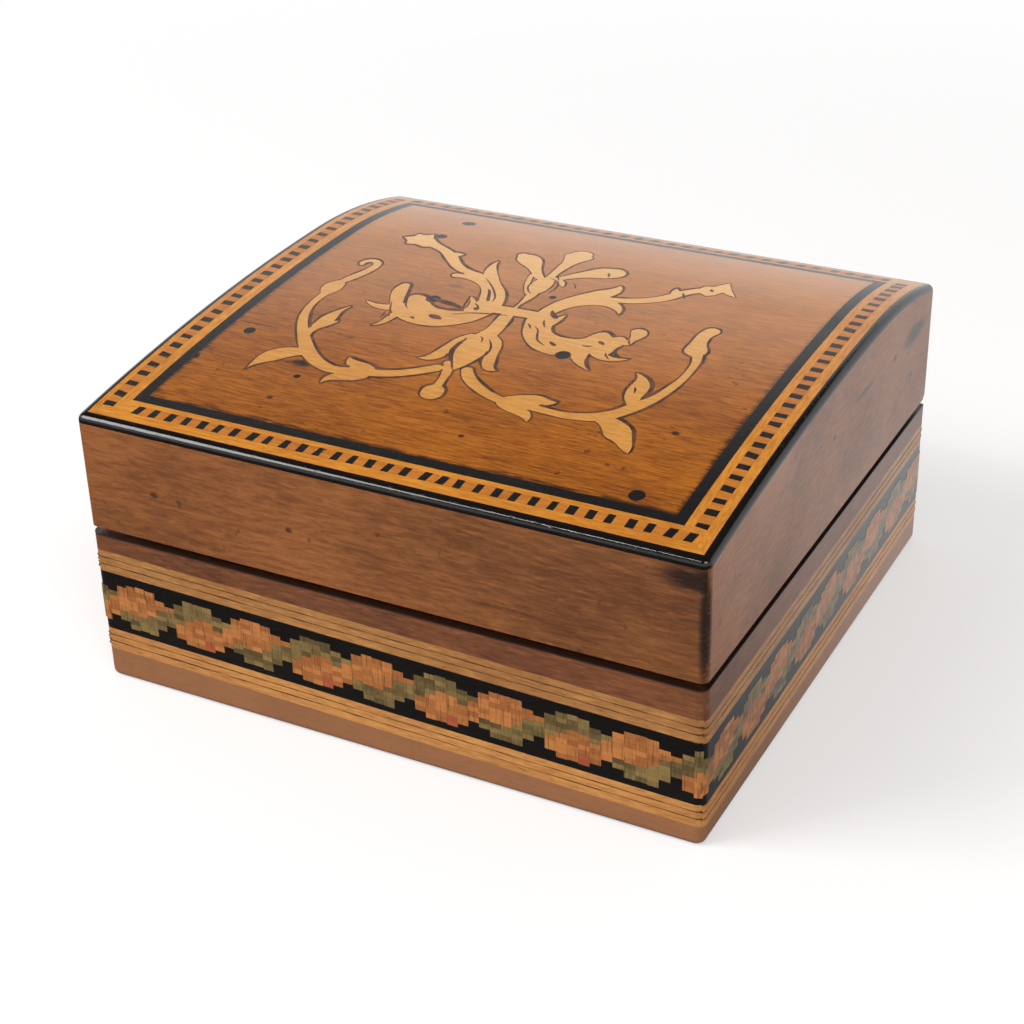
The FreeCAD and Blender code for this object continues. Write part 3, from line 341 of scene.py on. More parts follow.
def lacquered(tree, colour, roughness, height=None, strength=0.0, gloss=0.5):
    """The varnished surface that every wood on the box ends in."""
    links = {}
    if height is not None:
        links["Normal"] = add_node(
            tree, "ShaderNodeBump", Strength=strength, Distance=DENT_DEPTH, Height=height)
    shader = add_node(
        tree, "ShaderNodeBsdfPrincipled", None, 0,
        Base_Color=colour, Roughness=roughness, Specular_IOR_Level=gloss, **links,
    )
    surface(tree, shader)


print("grain along x takes steps of", grain_scale("x", 0.3, 2.2), "per mm")

# %% [markdown]
# ## Marks of use and painted shade
# An old box has bruises, and stains beside the black strings. Painted shade darkens the joint under the
# lid, and a painted contact shadow darkens the foot. They could be painted on a texture, but a soft ball or
# a border in space is enough for each, and it needs no unwrapping. A mark is a centre, the radii of its
# ball, a strength, and sometimes its own colour.

# %% Soft marks
# The dark colour of bruises and stains, and also of the painted shade at the joint and the foot
BRUISE_AND_SHADE = linear(38, 24, 18)
# The paler colour of painted bounce light from the paper
PAINTED_BOUNCE_LIGHT = linear(166, 119, 80)
EVERYWHERE = 900.0
OUTER_FACES = (50.5, 47.5)
SHADE_EDGE = (-1.6, -0.5)
# Painted shade in the joint under the lid, and a painted contact shadow at the foot
JOINT_LINE = ((0.0, 0.0, 26.1), (EVERYWHERE, EVERYWHERE, 0.65))
FOOT_LINE = ((0.0, 0.0, 0.0), (EVERYWHERE, EVERYWHERE, 0.7))
FOOT_SHADE = 0.75
SPOT_CORE = 0.35


def spot(place, centre, radii):
    """1 at a centre in millimetres, fading to 0 at an ellipsoid around it."""
    inverse = tuple(1 / radius for radius in radii)
    shift = tuple(-c * i for c, i in zip(centre, inverse))
    return distance(stretched(place, inverse, shift)).smooth(1.0, SPOT_CORE)


def past_border(place, border):
    """How far a place lies outside a rectangle around the middle, in millimetres; inside it is negative."""
    beyond = [coordinate(place, axis).math("ABSOLUTE", 0.0) - edge for axis, edge in zip("xy", border)]
    return beyond[0].math("MAXIMUM", beyond[1])


def painted_joint_and_foot_shade(place):
    """Painted shade: 1 in the joint under the lid and, as a contact shadow, at the foot, on the outside of
    the box only.
    """
    painted_shade = spot(place, *JOINT_LINE) + spot(place, *FOOT_LINE) * FOOT_SHADE
    return painted_shade * past_border(place, OUTER_FACES).smooth(*SHADE_EDGE)


print("joint line at", JOINT_LINE[0][2], "mm")

# %% [markdown]
# ## One class for every wood
# All the woods here are the same thing with different numbers: long soft figure, finer flecks along the
# grain, and short dark pores. So a class keeps a wood's numbers, and its `finish` makes a material from
# them for one piece, with the piece's own grain, place in the log and marks.

# %% A wood
PORE_STEPS = (0.55, 6.0)
PORE_EDGE = (0.6, 0.72)
CLOUD_STEPS = (0.07, 0.07, 0.07)
SPECK_STEPS = (0.5, 0.5, 0.5)
SPECK_EDGE = (0.7, 0.76)
TONE_SPREAD = 0.17
FLECK_SHARE = 0.5
RUBBED_IN = (0.1, 0.5)
BLEED_EDGE = (0.9, 1.9)
BLEED_STRENGTH = 0.85
BLEED_FLECKS, BLEED_CLOUDS = 2.4, 1.2
# Painted light: the lid's face turns paler towards the back, as if lit more there
BACK_LIGHT_DEPTH = (-25.0, 50.0)
BACK_LIGHT_SHARE = 0.5
PORE_DENT = 0.16
CLOUDY_GLOSS = 0.1


class Wood:
    """How one wood looks: its colours, and the steps per millimetre of its figure and flecks."""

    def __init__(self, pale, deep, pore, figure=(0.03, 0.1), flecks=(0.3, 2.2), pores=0.5, mottle=0.2,
                 roughness=0.34, gloss=0.5, specks=0.0):
        self.pale = pale
        self.deep = deep
        self.pore = pore
        self.figure = figure
        self.flecks = flecks
        self.pores = pores
        self.mottle = mottle
        self.roughness = roughness
        self.gloss = gloss
        self.specks = specks

    def finish(self, name, axis="x", seed=0.0, marks=(), stained_from=None, shaded_at_joint_and_foot=False, lit_towards_back=None):
        """A material of this wood with its grain along an axis, and marks: dark knocks, painted shade and
        painted light.

        A stain may bleed in from a border at (x, y), painted shade may darken the joint under the lid and a
        painted contact shadow the foot, and painted light may make the wood paler towards the back."""
        material, tree = new_material(name)
        place = millimetres(tree)
        shift = (seed, seed * 0.7, seed * 1.3)

        def streaks(steps, *look):
            return noise(stretched(place, grain_scale(axis, *steps), shift), *look)

        bands = streaks(self.figure, 4.0, 0.55, 0.6)
        flecks = streaks(self.flecks, 4.0, 0.65, 0.3)
        dashes = streaks(PORE_STEPS, 2.0, 0.5)
        clouds = noise(stretched(place, CLOUD_STEPS, shift), 3.0)
        tone = bands * self.mottle + flecks * FLECK_SHARE + clouds * self.mottle
        middle = 0.25 + self.mottle
        body = tone.smooth(middle - TONE_SPREAD, middle + TONE_SPREAD).mix(self.pale, self.deep)
        holes = dashes.smooth(*PORE_EDGE) * self.pores
        colour = holes.mix(body, self.pore)
        if self.specks:
            dirt = noise(stretched(place, SPECK_STEPS, shift), 2.0, 0.4).smooth(*SPECK_EDGE)
            colour = (dirt * self.specks).mix(colour, self.pore)
        # Marks are knocks, and on the base also painted shade and painted bounce light
        for centre, radii, strength, *tint in marks:
            wear_and_painted_light = spot(place, centre, radii) * flecks.smooth(*RUBBED_IN) * strength
            colour = wear_and_painted_light.mix(colour, *(tint or [BRUISE_AND_SHADE]))
        if stained_from:
            bleed = past_border(place, stained_from) + flecks * BLEED_FLECKS + clouds * BLEED_CLOUDS
            colour = (bleed.smooth(*BLEED_EDGE) * BLEED_STRENGTH).mix(colour, BRUISE_AND_SHADE)
        # Painted shade in the joint under the lid, and a painted contact shadow at the foot
        if shaded_at_joint_and_foot:
            colour = painted_joint_and_foot_shade(place).mix(colour, BRUISE_AND_SHADE)
        # Painted light: paler towards the back, as if lit more there
        if lit_towards_back:
            colour = (coordinate(place, "y").smooth(*BACK_LIGHT_DEPTH) * BACK_LIGHT_SHARE).mix(colour, lit_towards_back)
        roughness = clouds * CLOUDY_GLOSS + (self.roughness - CLOUDY_GLOSS / 2)
        height = flecks * FLECK_SHARE - holes
        lacquered(tree, colour, roughness, height, PORE_DENT, self.gloss)
        return material


print("pores take steps of", PORE_STEPS, "per mm, along the grain and across it")

# %% [markdown]
# ## The woods of the box
# Walnut makes the walls, a redder walnut veneer the field, and a light wood, perhaps box or holly, the
# scrolls. The strings are dyed black, the bandings are golden, and the inside is plain pine. Pictures of
# wood could be wrapped round the pieces, but a few numbers for each wood are easier to tune.

# %% Woods
walnut_wood = Wood(linear(153, 93, 44), linear(102, 56, 24), linear(58, 32, 18), specks=0.5)
base_walnut = Wood(linear(148, 89, 50), linear(100, 54, 29), linear(54, 28, 18), specks=0.5)
veneer_wood = Wood(linear(184, 108, 30), linear(106, 53, 12), linear(70, 34, 9), (0.03, 0.22), (0.3, 3.0),
                   pores=0.35, mottle=0.16, roughness=0.2, specks=0.6)
light_wood = Wood(linear(212, 153, 77), linear(181, 118, 50), linear(140, 84, 34), pores=0.3, roughness=0.2)
string_light = Wood(linear(204, 144, 76), linear(160, 102, 48), linear(104, 60, 28))
golden_wood = Wood(linear(214, 142, 50), linear(170, 100, 28), linear(110, 60, 18), pores=0.4,
                   roughness=0.22)
ebonised = Wood(linear(24, 19, 16), linear(12, 10, 9), linear(6, 5, 5), roughness=0.28)
polished_black = Wood(linear(24, 19, 16), linear(12, 10, 9), linear(6, 5, 5), roughness=0.1)
pine = Wood(linear(206, 160, 104), linear(170, 118, 68), linear(120, 76, 40), roughness=0.6, gloss=0.2)
board_pine = Wood(linear(188, 138, 84), linear(140, 92, 50), linear(90, 56, 30), roughness=0.65, gloss=0.2)
print("walnut is", round(walnut_wood.roughness, 2), "rough and the black edge", polished_black.roughness)

# %% [markdown]
# ## Where this box is worn, with painted shade and light
# These are the bruises that can be seen: small knocks on the walls, a dark upright corner at the front
# right and some dents in the field. Broad marks darken the front towards its right end, the field on its
# left, and the light strings towards the top of the base. On the base, painted shade darkens the walnut
# under the lid, and painted bounce light from the paper makes a paler band along the foot. Random dirt
# would be quicker, but it's the few marks in their own places that make this one box.

# %% Marks on the pieces
BASE_SHADE_AND_BOUNCE_LIGHT = [
    # Painted shade under the lid
    ((0.0, 0.0, 25.0), (EVERYWHERE, EVERYWHERE, 7.5), 0.34),
    # Painted bounce light from the paper along the foot
    ((0.0, 0.0, 2.0), (EVERYWHERE, EVERYWHERE, 8.0), 0.45, PAINTED_BOUNCE_LIGHT),
]
# Darker towards the top of the base
STRING_MARKS = [((0.0, 0.0, 20.0), (EVERYWHERE, EVERYWHERE, 8.0), 0.3)]
CORNER_MARK = ((50.3, -47.3, 35.5), (1.5, 1.5, 13.0), 0.95)
RIGHT_MARKS = [
    CORNER_MARK,
    ((50.5, 38.0, 42.6), (9.0, 8.0, 2.2), 0.9),
    ((50.5, 27.9, 42.3), (9.0, 1.0, 0.8), 0.9),
    ((50.5, 0.0, 41.4), (9.0, 0.9, 0.7), 0.9),
    ((50.5, 37.2, 35.5), (9.0, 0.8, 0.7), 0.8),
    ((50.5, 13.0, 43.1), (9.0, 6.5, 0.7), 0.7),
]
FRONT_MARKS = [
    CORNER_MARK,
    ((49.0, -47.5, 42.8), (7.5, 9.0, 2.6), 0.95),
    ((-14.0, -47.5, 35.0), (0.8, 9.0, 0.6), 0.8),
    # A broad darkening of the front towards its right end
    ((48.0, -47.5, 36.0), (50.0, 9.0, 30.0), 0.28),
    ((-37.5, -47.5, 35.2), (1.0, 9.0, 0.7), 0.7),
    ((20.0, -47.5, 31.0), (7.0, 9.0, 0.4), 0.4),
]
FIELD_MARKS = [
    # A broad darkening of the field on its left
    ((-38.0, -2.0, 48.0), (24.0, 46.0, 60.0), 0.15),
    ((34.7, -22.0, 48.0), (0.9, 0.7, 9.0), 1.0),
    ((6.7, -33.1, 47.0), (0.7, 0.6, 9.0), 0.9),
    ((-24.9, -33.8, 47.0), (0.8, 0.6, 9.0), 0.9),
    ((-39.0, -16.0, 48.0), (5.0, 0.3, 9.0), 0.8),
    ((-25.6, -23.9, 48.0), (2.6, 1.2, 9.0), 1.0),
    ((-16.0, 7.0, 50.0), (2.2, 0.9, 9.0), 0.7),
]
print(len(FRONT_MARKS), "marks in front and", len(RIGHT_MARKS), "on the right")
print(len(FIELD_MARKS), "marks on the field")

# %% [markdown]
# ## Finishes
# Each wall is cut from another place in the plank, so each has its own seed, and the grain runs along it.
# One material could serve all four walls, but on two of them the grain would run up and down. The field
# is stained where it meets the black string around it.

# %% Finishes
STAIN_BORDER = (42.6, 39.6)

walnut = {
    "front": walnut_wood.finish("walnut_front", "x", 0.0, FRONT_MARKS, shaded_at_joint_and_foot=True),
    "right": walnut_wood.finish("walnut_right", "y", 11.0, RIGHT_MARKS, shaded_at_joint_and_foot=True),
    "back": walnut_wood.finish("walnut_back", "x", 21.0, shaded_at_joint_and_foot=True),
    "left": walnut_wood.finish("walnut_left", "y", 31.0, shaded_at_joint_and_foot=True),
}
low_walnut = {
    "x": base_walnut.finish("walnut_base_long", "x", 41.0, BASE_SHADE_AND_BOUNCE_LIGHT, shaded_at_joint_and_foot=True),
    "y": base_walnut.finish("walnut_base_short", "y", 51.0, BASE_SHADE_AND_BOUNCE_LIGHT, shaded_at_joint_and_foot=True),
}
# The field and the scrolls take painted light: paler towards the back, as if lit more there
field_wood = veneer_wood.finish(
    "field_walnut", "x", 4.0, FIELD_MARKS, STAIN_BORDER, lit_towards_back=linear(214, 150, 92))
inlay_wood = light_wood.finish("light_inlay", "x", 7.0, lit_towards_back=linear(250, 206, 142))
string_wood = {axis: string_light.finish(f"light_string_{axis}", axis, 2.0, STRING_MARKS) for axis in "xy"}
banding_wood = {axis: golden_wood.finish(f"golden_banding_{axis}", axis, 5.0) for axis in "xy"}
black_wood = ebonised.finish("black_string", "x", 1.0)
edge_black = polished_black.finish("black_edge", "x", 6.0)
plug_wood = ebonised.finish("black_plug", "z", 3.0)
lining_wood = pine.finish("lining_pine", "x", 9.0)
board_wood = board_pine.finish("board_pine", "x", 13.0)
print(len(bpy.data.materials), "materials so far")

# %% [markdown]
# ## Brass and paper
# The hinges and the bolt are old brass, duller and browner where hands don't reach. The inside is lined
# with dark red flock paper, which has a soft mottled nap and no gloss. Plain colours would pass from far
# away, but brass that hands have used is uneven, so noise sets both its colour and its gloss.

# %% Brass and flock paper
RUBBED_BRASS = (0.72, 0.5, 0.19)
BROWN_BRASS = (0.36, 0.22, 0.08)
BRUSHED_STEPS = (0.6, 7.0, 7.0)
NAP_STEPS = (6.0, 6.0, 6.0)


def brass_finish():
    material, tree = new_material("old_brass")
    place = millimetres(tree)
    age = noise(stretched(place, (0.5, 0.5, 0.5)), 4.0)
    brushed = noise(stretched(place, BRUSHED_STEPS), 2.0)
    colour = age.smooth(0.4, 0.7).mix(RUBBED_BRASS, BROWN_BRASS)
    bump = add_node(tree, "ShaderNodeBump", Strength=0.15, Distance=0.05 * MM, Height=brushed)
    shader = add_node(tree, "ShaderNodeBsdfPrincipled", None, 0, Base_Color=colour, Metallic=1.0,
                      Roughness=age * 0.25 + 0.22, Normal=bump)
    surface(tree, shader)
    return material


def paper_finish():
    material, tree = new_material("flock_paper")
    place = millimetres(tree)
    nap = noise(stretched(place, NAP_STEPS), 3.0)
    worn = noise(stretched(place, (0.08, 0.08, 0.08)), 3.0)
    colour = (nap * 0.5 + worn * 0.5).smooth(0.35, 0.7).mix(linear(104, 22, 26), linear(66, 12, 16))
    bump = add_node(tree, "ShaderNodeBump", Strength=0.4, Distance=0.1 * MM, Height=nap)
    shader = add_node(tree, "ShaderNodeBsdfPrincipled", None, 0, Base_Color=colour, Roughness=0.95,
                      Normal=bump)
    surface(tree, shader)
    return material


brass = brass_finish()
flock = paper_finish()
print("made", brass.name, "and", flock.name)

# %% [markdown]
# ## Dress the pieces
# The construction's pieces are named for what they are, so a piece's name is enough to choose its finish.
# A list of all sixty would do too, but it would be long and easy to get wrong. Only the material slots
# change: the pieces themselves stay as they were packed.

# %% Finish of each piece
BOARDS = ("floor_board", "slide_board", "slide_runners", "lid_top_board")
PAPERS = ("floor_lining", "ceiling_lining")
BRASS_WORDS = ("hinge", "bolt", "keeper")
FACE_FINISH = {"field_veneer": field_wood, "arabesque_inlay": inlay_wood, "face_plugs": plug_wood}


def grain_axis(side):
    """The axis that a side's pieces run along."""
    return "x" if side in ("front", "back") else "y"


def finish_of(node):
    """The finish that a piece of the construction takes, from its name."""
    words = node.split("_")
    if node.endswith("edge_string"):
        return edge_black
    if "mosaic" in node or node.endswith("inner_string"):
        return black_wood
    if "stringing" in node:
        return string_wood[grain_axis(words[0])]
    if "ladder" in node:
        return banding_wood[grain_axis(words[0])]
    if node in PAPERS:
        return flock
    if "lining" in node:
        return lining_wood
    if node in BOARDS:
        return board_wood
    if any(word in node for word in BRASS_WORDS):
        return brass
    if node.endswith("wall"):
        return walnut[words[1]] if words[0] == "lid" else low_walnut[grain_axis(words[1])]
    return FACE_FINISH[node]


for name, piece in nodes.items():
    piece.data.materials.clear()
    piece.data.materials.append(finish_of(name))
print(len(nodes), "pieces of the construction finished")

# %% [markdown]
# ## Laying in small work
# Tesserae, ladder squares and fine lines lie in the surface of larger strips. Each is a little block that
# sinks into its strip and stands proud by less than a hair, so that it never flickers against the strip.
# A block is made from the corners of its face and the way that the face looks. A ribbon is made from two
# lines of points, its left and right edges.

# %% Inlaid blocks
PROUD = 0.025 * MM
SUNK = 0.4 * MM


class Blocks:
    """A mesh that small inlaid blocks are gathered in."""

    def __init__(self, name, body, finishes, slot):
        self.name = name
        self.body = body
        self.finishes = finishes
        self.slot = slot
        self.points = []
        self.faces = []
        self.picks = []
        self.count = 0

    def keep(self, faces, finish=0):
        self.faces += faces
        self.picks += [finish] * len(faces)
        self.count += 1

    def add(self, corners, out, finish=0):
        """A block under a face given by its corners, anticlockwise seen from outside."""
        first = len(self.points)
        count = len(corners)
        self.points += [corner + out * PROUD for corner in corners]
        self.points += [corner - out * SUNK for corner in corners]
        top = list(range(first, first + count))
        made = [top, [i + count for i in reversed(top)]]
        for i in range(count):
            a, b = top[i], top[(i + 1) % count]
            made.append([b, a, a + count, b + count])
        self.keep(made, finish)

    def run(self, lefts, rights, closed=False):
        """A thin ribbon let in between two lines of points; a closed one joins its own start."""
        first = len(self.points)
        count = len(lefts)
        up = Vector((0, 0, 1))
        for left, right in zip(lefts, rights):
            self.points += [left + up * PROUD, right + up * PROUD, right - up * SUNK, left - up * SUNK]
        made = []
        for i in range(count if closed else count - 1):
            a = first + 4 * i
            b = first + 4 * ((i + 1) % count)
            made += [[a + k, a + (k + 1) % 4, b + (k + 1) % 4, b + k] for k in range(4)]
        if not closed:
            end = first + 4 * (count - 1)
            made += [[first + k for k in (3, 2, 1, 0)], [end + k for k in range(4)]]
        self.keep(made)

    def place(self):
        mesh = bpy.data.meshes.new(self.name)
        mesh.from_pydata(self.points, [], self.faces)
        for finish in self.finishes:
            mesh.materials.append(finish)
        mesh.polygons.foreach_set("material_index", self.picks)
        mesh.update()
        piece = bpy.data.objects.new(self.name, mesh)
        bpy.context.scene.collection.objects.link(piece)
        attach(piece, self.body)
        print(self.name, self.count, "pieces laid in")


print("inlay stands", PROUD / MM, "mm proud")

# %% [markdown]
# ## Along the sides
# The strips of the base run round its corners, which are slightly rounded. So a place on a strip is given
# by a distance along its side and a share of the way up, and past the end of the flat it turns with the
# corner. A strip's ends and height are measured from its own mesh, so what is laid in it fits.

# %% Strips of the base
SIDES = ("front", "right", "back", "left")
OUTWARD = {"front": Vector((0, -1, 0)), "right": Vector((1, 0, 0)),
           "back": Vector((0, 1, 0)), "left": Vector((-1, 0, 0))}
CORNER_ROUND = 1.5 * MM
MITRE = CORNER_ROUND * math.pi / 4 * 0.97
SLIVER = 0.05 * MM
FLAT = 0.02 * MM


def along_way(side):
    """From left to right along a side, seen from outside."""
    return Vector((0, 0, 1)).cross(OUTWARD[side])


class Strip:
    """A straight strip in one side of the base, measured from its mesh: places along and up it."""

    def __init__(self, node, side):
        self.out = OUTWARD[side]
        self.way = along_way(side)
        points = [vertex.co.copy() for vertex in nodes[node].data.vertices]
        self.face = max(point.dot(self.out) for point in points)
        outer = [point for point in points if point.dot(self.out) > self.face - FLAT]
        ends = sorted(outer, key=lambda point: point.dot(self.way))
        self.start = ends[0].dot(self.way)
        self.end = ends[-1].dot(self.way)
        near = [point.z for point in outer if point.dot(self.way) < self.start + FLAT]
        far = [point.z for point in outer if point.dot(self.way) > self.end - FLAT]
        self.low = (min(near), min(far))
        self.high = (max(near), max(far))

    def turn(self, along):
        """The angle that the face has turned round an upright corner, past either end of its flat."""
        return (max(along - self.end, 0) + min(along - self.start, 0)) / CORNER_ROUND

    def at(self, along, up):
        """The point at a distance along the side and a share of the way up the strip."""
        share = (along - self.start) / (self.end - self.start)
        low = self.low[0] + (self.low[1] - self.low[0]) * share
        high = self.high[0] + (self.high[1] - self.high[0]) * share
        turn = self.turn(along)
        along += CORNER_ROUND * (math.sin(turn) - turn)
        face = self.face - CORNER_ROUND * (1 - math.cos(turn))
        return self.way * along + self.out * face + Vector((0, 0, low + (high - low) * up))

    def outward(self, along):
        turn = self.turn(along)
        return self.out * math.cos(turn) + self.way * math.sin(turn)

    def parts(self, along):
        """A length along the side, cut into slices where it goes round a corner, up to the mitre."""
        first, last = max(along[0], self.start - MITRE), min(along[1], self.end + MITRE)
        bends = [self.start - MITRE * 2 / 3, self.start - MITRE / 3, self.start,
                 self.end, self.end + MITRE / 3, self.end + MITRE * 2 / 3]
        cuts = [first] + [bend for bend in bends if first < bend < last] + [last]
        return [pair for pair in zip(cuts, cuts[1:]) if pair[1] - pair[0] > SLIVER]

    def block(self, along, up):
        """Corners of a block between two distances along the side and two shares up the strip."""
        return [self.at(along[0], up[0]), self.at(along[1], up[0]),
                self.at(along[1], up[1]), self.at(along[0], up[1])]

    def lay(self, blocks, along, up, finish=0):
        """Lay a block in the strip, in slices where it goes round a corner."""
        for part in self.parts(along):
            blocks.add(self.block(part, up), self.outward(sum(part) / 2), finish)


front_strip = Strip("front_mosaic", "front")
print("front mosaic is flat for", round((front_strip.end - front_strip.start) / MM, 1), "mm")

# %% [markdown]
# ## Mosaic
# The mosaic was built from sticks of dyed wood, glued into a block and sliced: that is why its flowers are
# stepped columns of little oblongs. One repeat is twelve columns, a flower that is orange above and green
# below, then one that is green above, with a narrow link after each. Each column is a word of colours from
# the top down, and it starts a number of rows below the strip's top edge. A material could paint this on
# the strip, but real little blocks keep their edges in the light and go round the corners.

# %% Repeat of the mosaic
COLUMN = 1.745 * MM
ROWS = 12
REPEAT = [
    (2.35, "ooooogg"), (1.75, "ooooooggg"), (1.75, "ooooooggg"),
    (1.85, "ooooogggg"), (3.1, "oogggg"), (3.9, "oggg"),
    (2.7, "ggggooo"), (1.7, "ggggooooo"), (1.7, "gggoooooo"),
    (1.75, "gggoooorr"), (3.0, "gggoooo"), (3.6, "goooo"),
]
MOSAIC_START = {"front": -46.9, "right": -44.0, "back": -47.5, "left": -45.0}
print("one repeat is", round(len(REPEAT) * COLUMN / MM, 1), "mm long")

# %% [markdown]
# ## Dyed tesserae
# Blender numbers the loose islands of a mesh at random, so one material gives every tessera its own tone.
# That saves a material for every shade. Fine dark saw marks run up and down the sticks.

# %% Dyes
EACH_ISLAND = 8
SAWN = linear(66, 46, 25)
SAW_EDGE = (0.54, 0.66)
SAW_STRENGTH = 0.6
SAW_STEPS = (4.5, 4.5, 0.2)
FIBRE_STEPS = (2.4, 2.4, 0.9)
FIBRE_DENT = 0.15
DYED_ROUGHNESS = 0.28


def dyed(name, pale, deep, seed):
    """Dyed wood: every tessera has its own tone, and fine dark saw marks run up and down it."""
    material, tree = new_material(name)
    place = millimetres(tree)
    own = add_node(tree, "ShaderNodeNewGeometry", output=EACH_ISLAND)
    fibre = noise(stretched(place, FIBRE_STEPS, (seed, seed, seed)), 3.0, 0.6)
    tone = (own * 0.6 + fibre * 0.6).smooth(0.2, 1.0)
    saw_marks = noise(stretched(place, SAW_STEPS, (seed, seed, 0.0)), 2.0, 0.5)
    colour = (saw_marks.smooth(*SAW_EDGE) * SAW_STRENGTH).mix(tone.mix(pale, deep), SAWN)
    lacquered(tree, colour, DYED_ROUGHNESS, fibre, FIBRE_DENT)
    return material


dyes = [
    dyed("orange_tesserae", linear(184, 117, 59), linear(146, 86, 41), 1.0),
    dyed("green_tesserae", linear(136, 112, 64), linear(82, 68, 38), 2.0),
    dyed("red_tesserae", linear(166, 82, 50), linear(146, 70, 42), 3.0),
]
DYE = {"o": 0, "g": 1, "r": 2}
print(len(dyes), "dyes")

# %% [markdown]
# ## Laying the mosaic
# The columns aren't quite level, so each starts a little higher or lower. A seeded generator gives the same
# columns every time. Columns run on past both ends of a strip, and the strip cuts them at its mitres.

# %% Tesserae
JOINT = 0.012 * MM
ROW_JOINT = 0.0012
UNEVEN = 0.12
COLUMNS = range(-4, 64)

rng = random.Random(5)
for side in SIDES:
    strip = Strip(f"{side}_mosaic", side)
    blocks = Blocks(f"{side}_tesserae", "base", dyes, "mosaic")
    first = MOSAIC_START[side] * MM
    for column in COLUMNS:
        along = (first + column * COLUMN + JOINT, first + (column + 1) * COLUMN - JOINT)
        start, word = REPEAT[column % len(REPEAT)]
        start += rng.uniform(-UNEVEN, UNEVEN)
        for row, letter in enumerate(word):
            top = 1 - (start + row) / ROWS
            strip.lay(blocks, along, (top - 1 / ROWS + ROW_JOINT, top - ROW_JOINT), DYE[letter])
    blocks.place()

# %% [markdown]
# ## Fine lines in the light strips
# Each light strip on the base is three strings of pale wood, and the glue between them has darkened to two
# fine lines. They aren't quite even, so each line is a row of short slivers that wander in width.

# %% Glue lines in the light strips
LINE_PLACES = (0.36, 0.69)
LINE_WIDE = 0.045
LINE_SPREAD = (0.1, 1.2)
LINE_PIECE = 3.0 * MM
FAR = 1.0

glue_dark, tree = new_material("old_glue")
dirt = noise(stretched(millimetres(tree), (0.8, 0.8, 0.8)), 3.0)
lacquered(tree, dirt.smooth(0.3, 0.7).mix(linear(96, 58, 30), linear(40, 24, 14)), 0.4)


def around(middle, width):
    """The two edges of a line, as shares of the way up a strip."""
    return middle - width / 2, middle + width / 2


for side in SIDES:
    blocks = Blocks(f"{side}_string_lines", "base", [glue_dark], "black_string")
    for row in ("upper", "lower"):
        strip = Strip(f"{side}_{row}_stringing", side)
        count = round((strip.end - strip.start) / LINE_PIECE)
        step = (strip.end - strip.start) / count
        for line in LINE_PLACES:
            edges = [around(line, LINE_WIDE * rng.uniform(*LINE_SPREAD)) for i in range(count + 1)]
            for i in range(count):
                a, b = strip.start + i * step, strip.start + (i + 1) * step
                corners = [strip.at(a, edges[i][0]), strip.at(b, edges[i + 1][0]),
                           strip.at(b, edges[i + 1][1]), strip.at(a, edges[i][1])]
                blocks.add(corners, strip.out)
            strip.lay(blocks, (-FAR, strip.start), edges[0])
            strip.lay(blocks, (strip.end, FAR), edges[-1])
    blocks.place()

# %% [markdown]
# ## The domed face
# The lid is domed, so what is drawn on its plan has to be dropped on to the face. A ray from above finds
# the height of a piece's top, and the way it looks, at any place. A search tree for each piece makes that
# quick.

# %% Dropping on to the lid
ABOVE = 1.0
face_tree = {}


def face_height(node, x, y):
    """A point on the top of a piece of the lid, straight below (x, y), and the way the face looks."""
    if node not in face_tree:
        mesh = nodes[node].data
        points = [vertex.co for vertex in mesh.vertices]
        face_tree[node] = BVHTree.FromPolygons(points, [list(face.vertices) for face in mesh.polygons])
    hit = face_tree[node].ray_cast(Vector((x, y, ABOVE)), Vector((0, 0, -1)))
    return hit[0], hit[1]


corner_height = face_height("field_veneer", -40 * MM, -35 * MM)[0].z
print("field is", round(corner_height / MM, 1), "mm up near its front left corner")

# %% [markdown]
# ## Ladder banding
# The banding around the lid is a row of black and amber blocks between two light strips. The strip itself
# is a piece of the construction, and the blocks are laid along its middle. On the real lid no two sides are
# quite alike, so each side has its own row, which one repeated pattern couldn't give.

# %% Ladder rows
BLACK_SHARE = 0.44
SKEW = 0.12
LADDER_ROW = {
    # black squares, the first and the last along the side in mm, and the row's edges as shares of the width
    "front": (32, -41.8, 46.0, 0.38, 0.78),
    "right": (30, -40.57, 41.4, 0.33, 0.72),
    "back": (31, -43.3, 43.8, 0.33, 0.75),
    "left": (31, -42.4, 43.2, 0.22, 0.62),
}
amber_wood = Wood(linear(200, 124, 40), linear(158, 88, 24), linear(96, 54, 18), pores=0.3, roughness=0.3)
amber = amber_wood.finish("amber_blocks", "x", 8.0)


def ladder_frame(side):
    """The way out of a side, the banding's outer line and width, and the way along it."""
    low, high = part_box(f"{side}_ladder_banding")
    out = OUTWARD[side]
    outer = max(low.dot(out), high.dot(out))
    inner = min(low.dot(out), high.dot(out))
    return out, outer, outer - inner, along_way(side)


def on_ladder(x, y):
    """The point of the banding straight below (x, y), on whichever side it lies past a mitre."""
    hits = [face_height(f"{side}_ladder_banding", x, y)[0] for side in SIDES]
    return next(hit for hit in hits if hit is not None)


print("front banding is", round(ladder_frame("front")[2] / MM, 2), "mm wide")

# %% [markdown]
# ## Ladder squares
# The blocks were cut by hand. Their places and widths vary a little, and the black ones lean.

# %% Ladder squares
PLACE_SPREAD = (-0.05, 0.05)
WIDTH_SPREAD = (0.88, 1.12)
LEAN_SPREAD = (-0.2, 1.0)

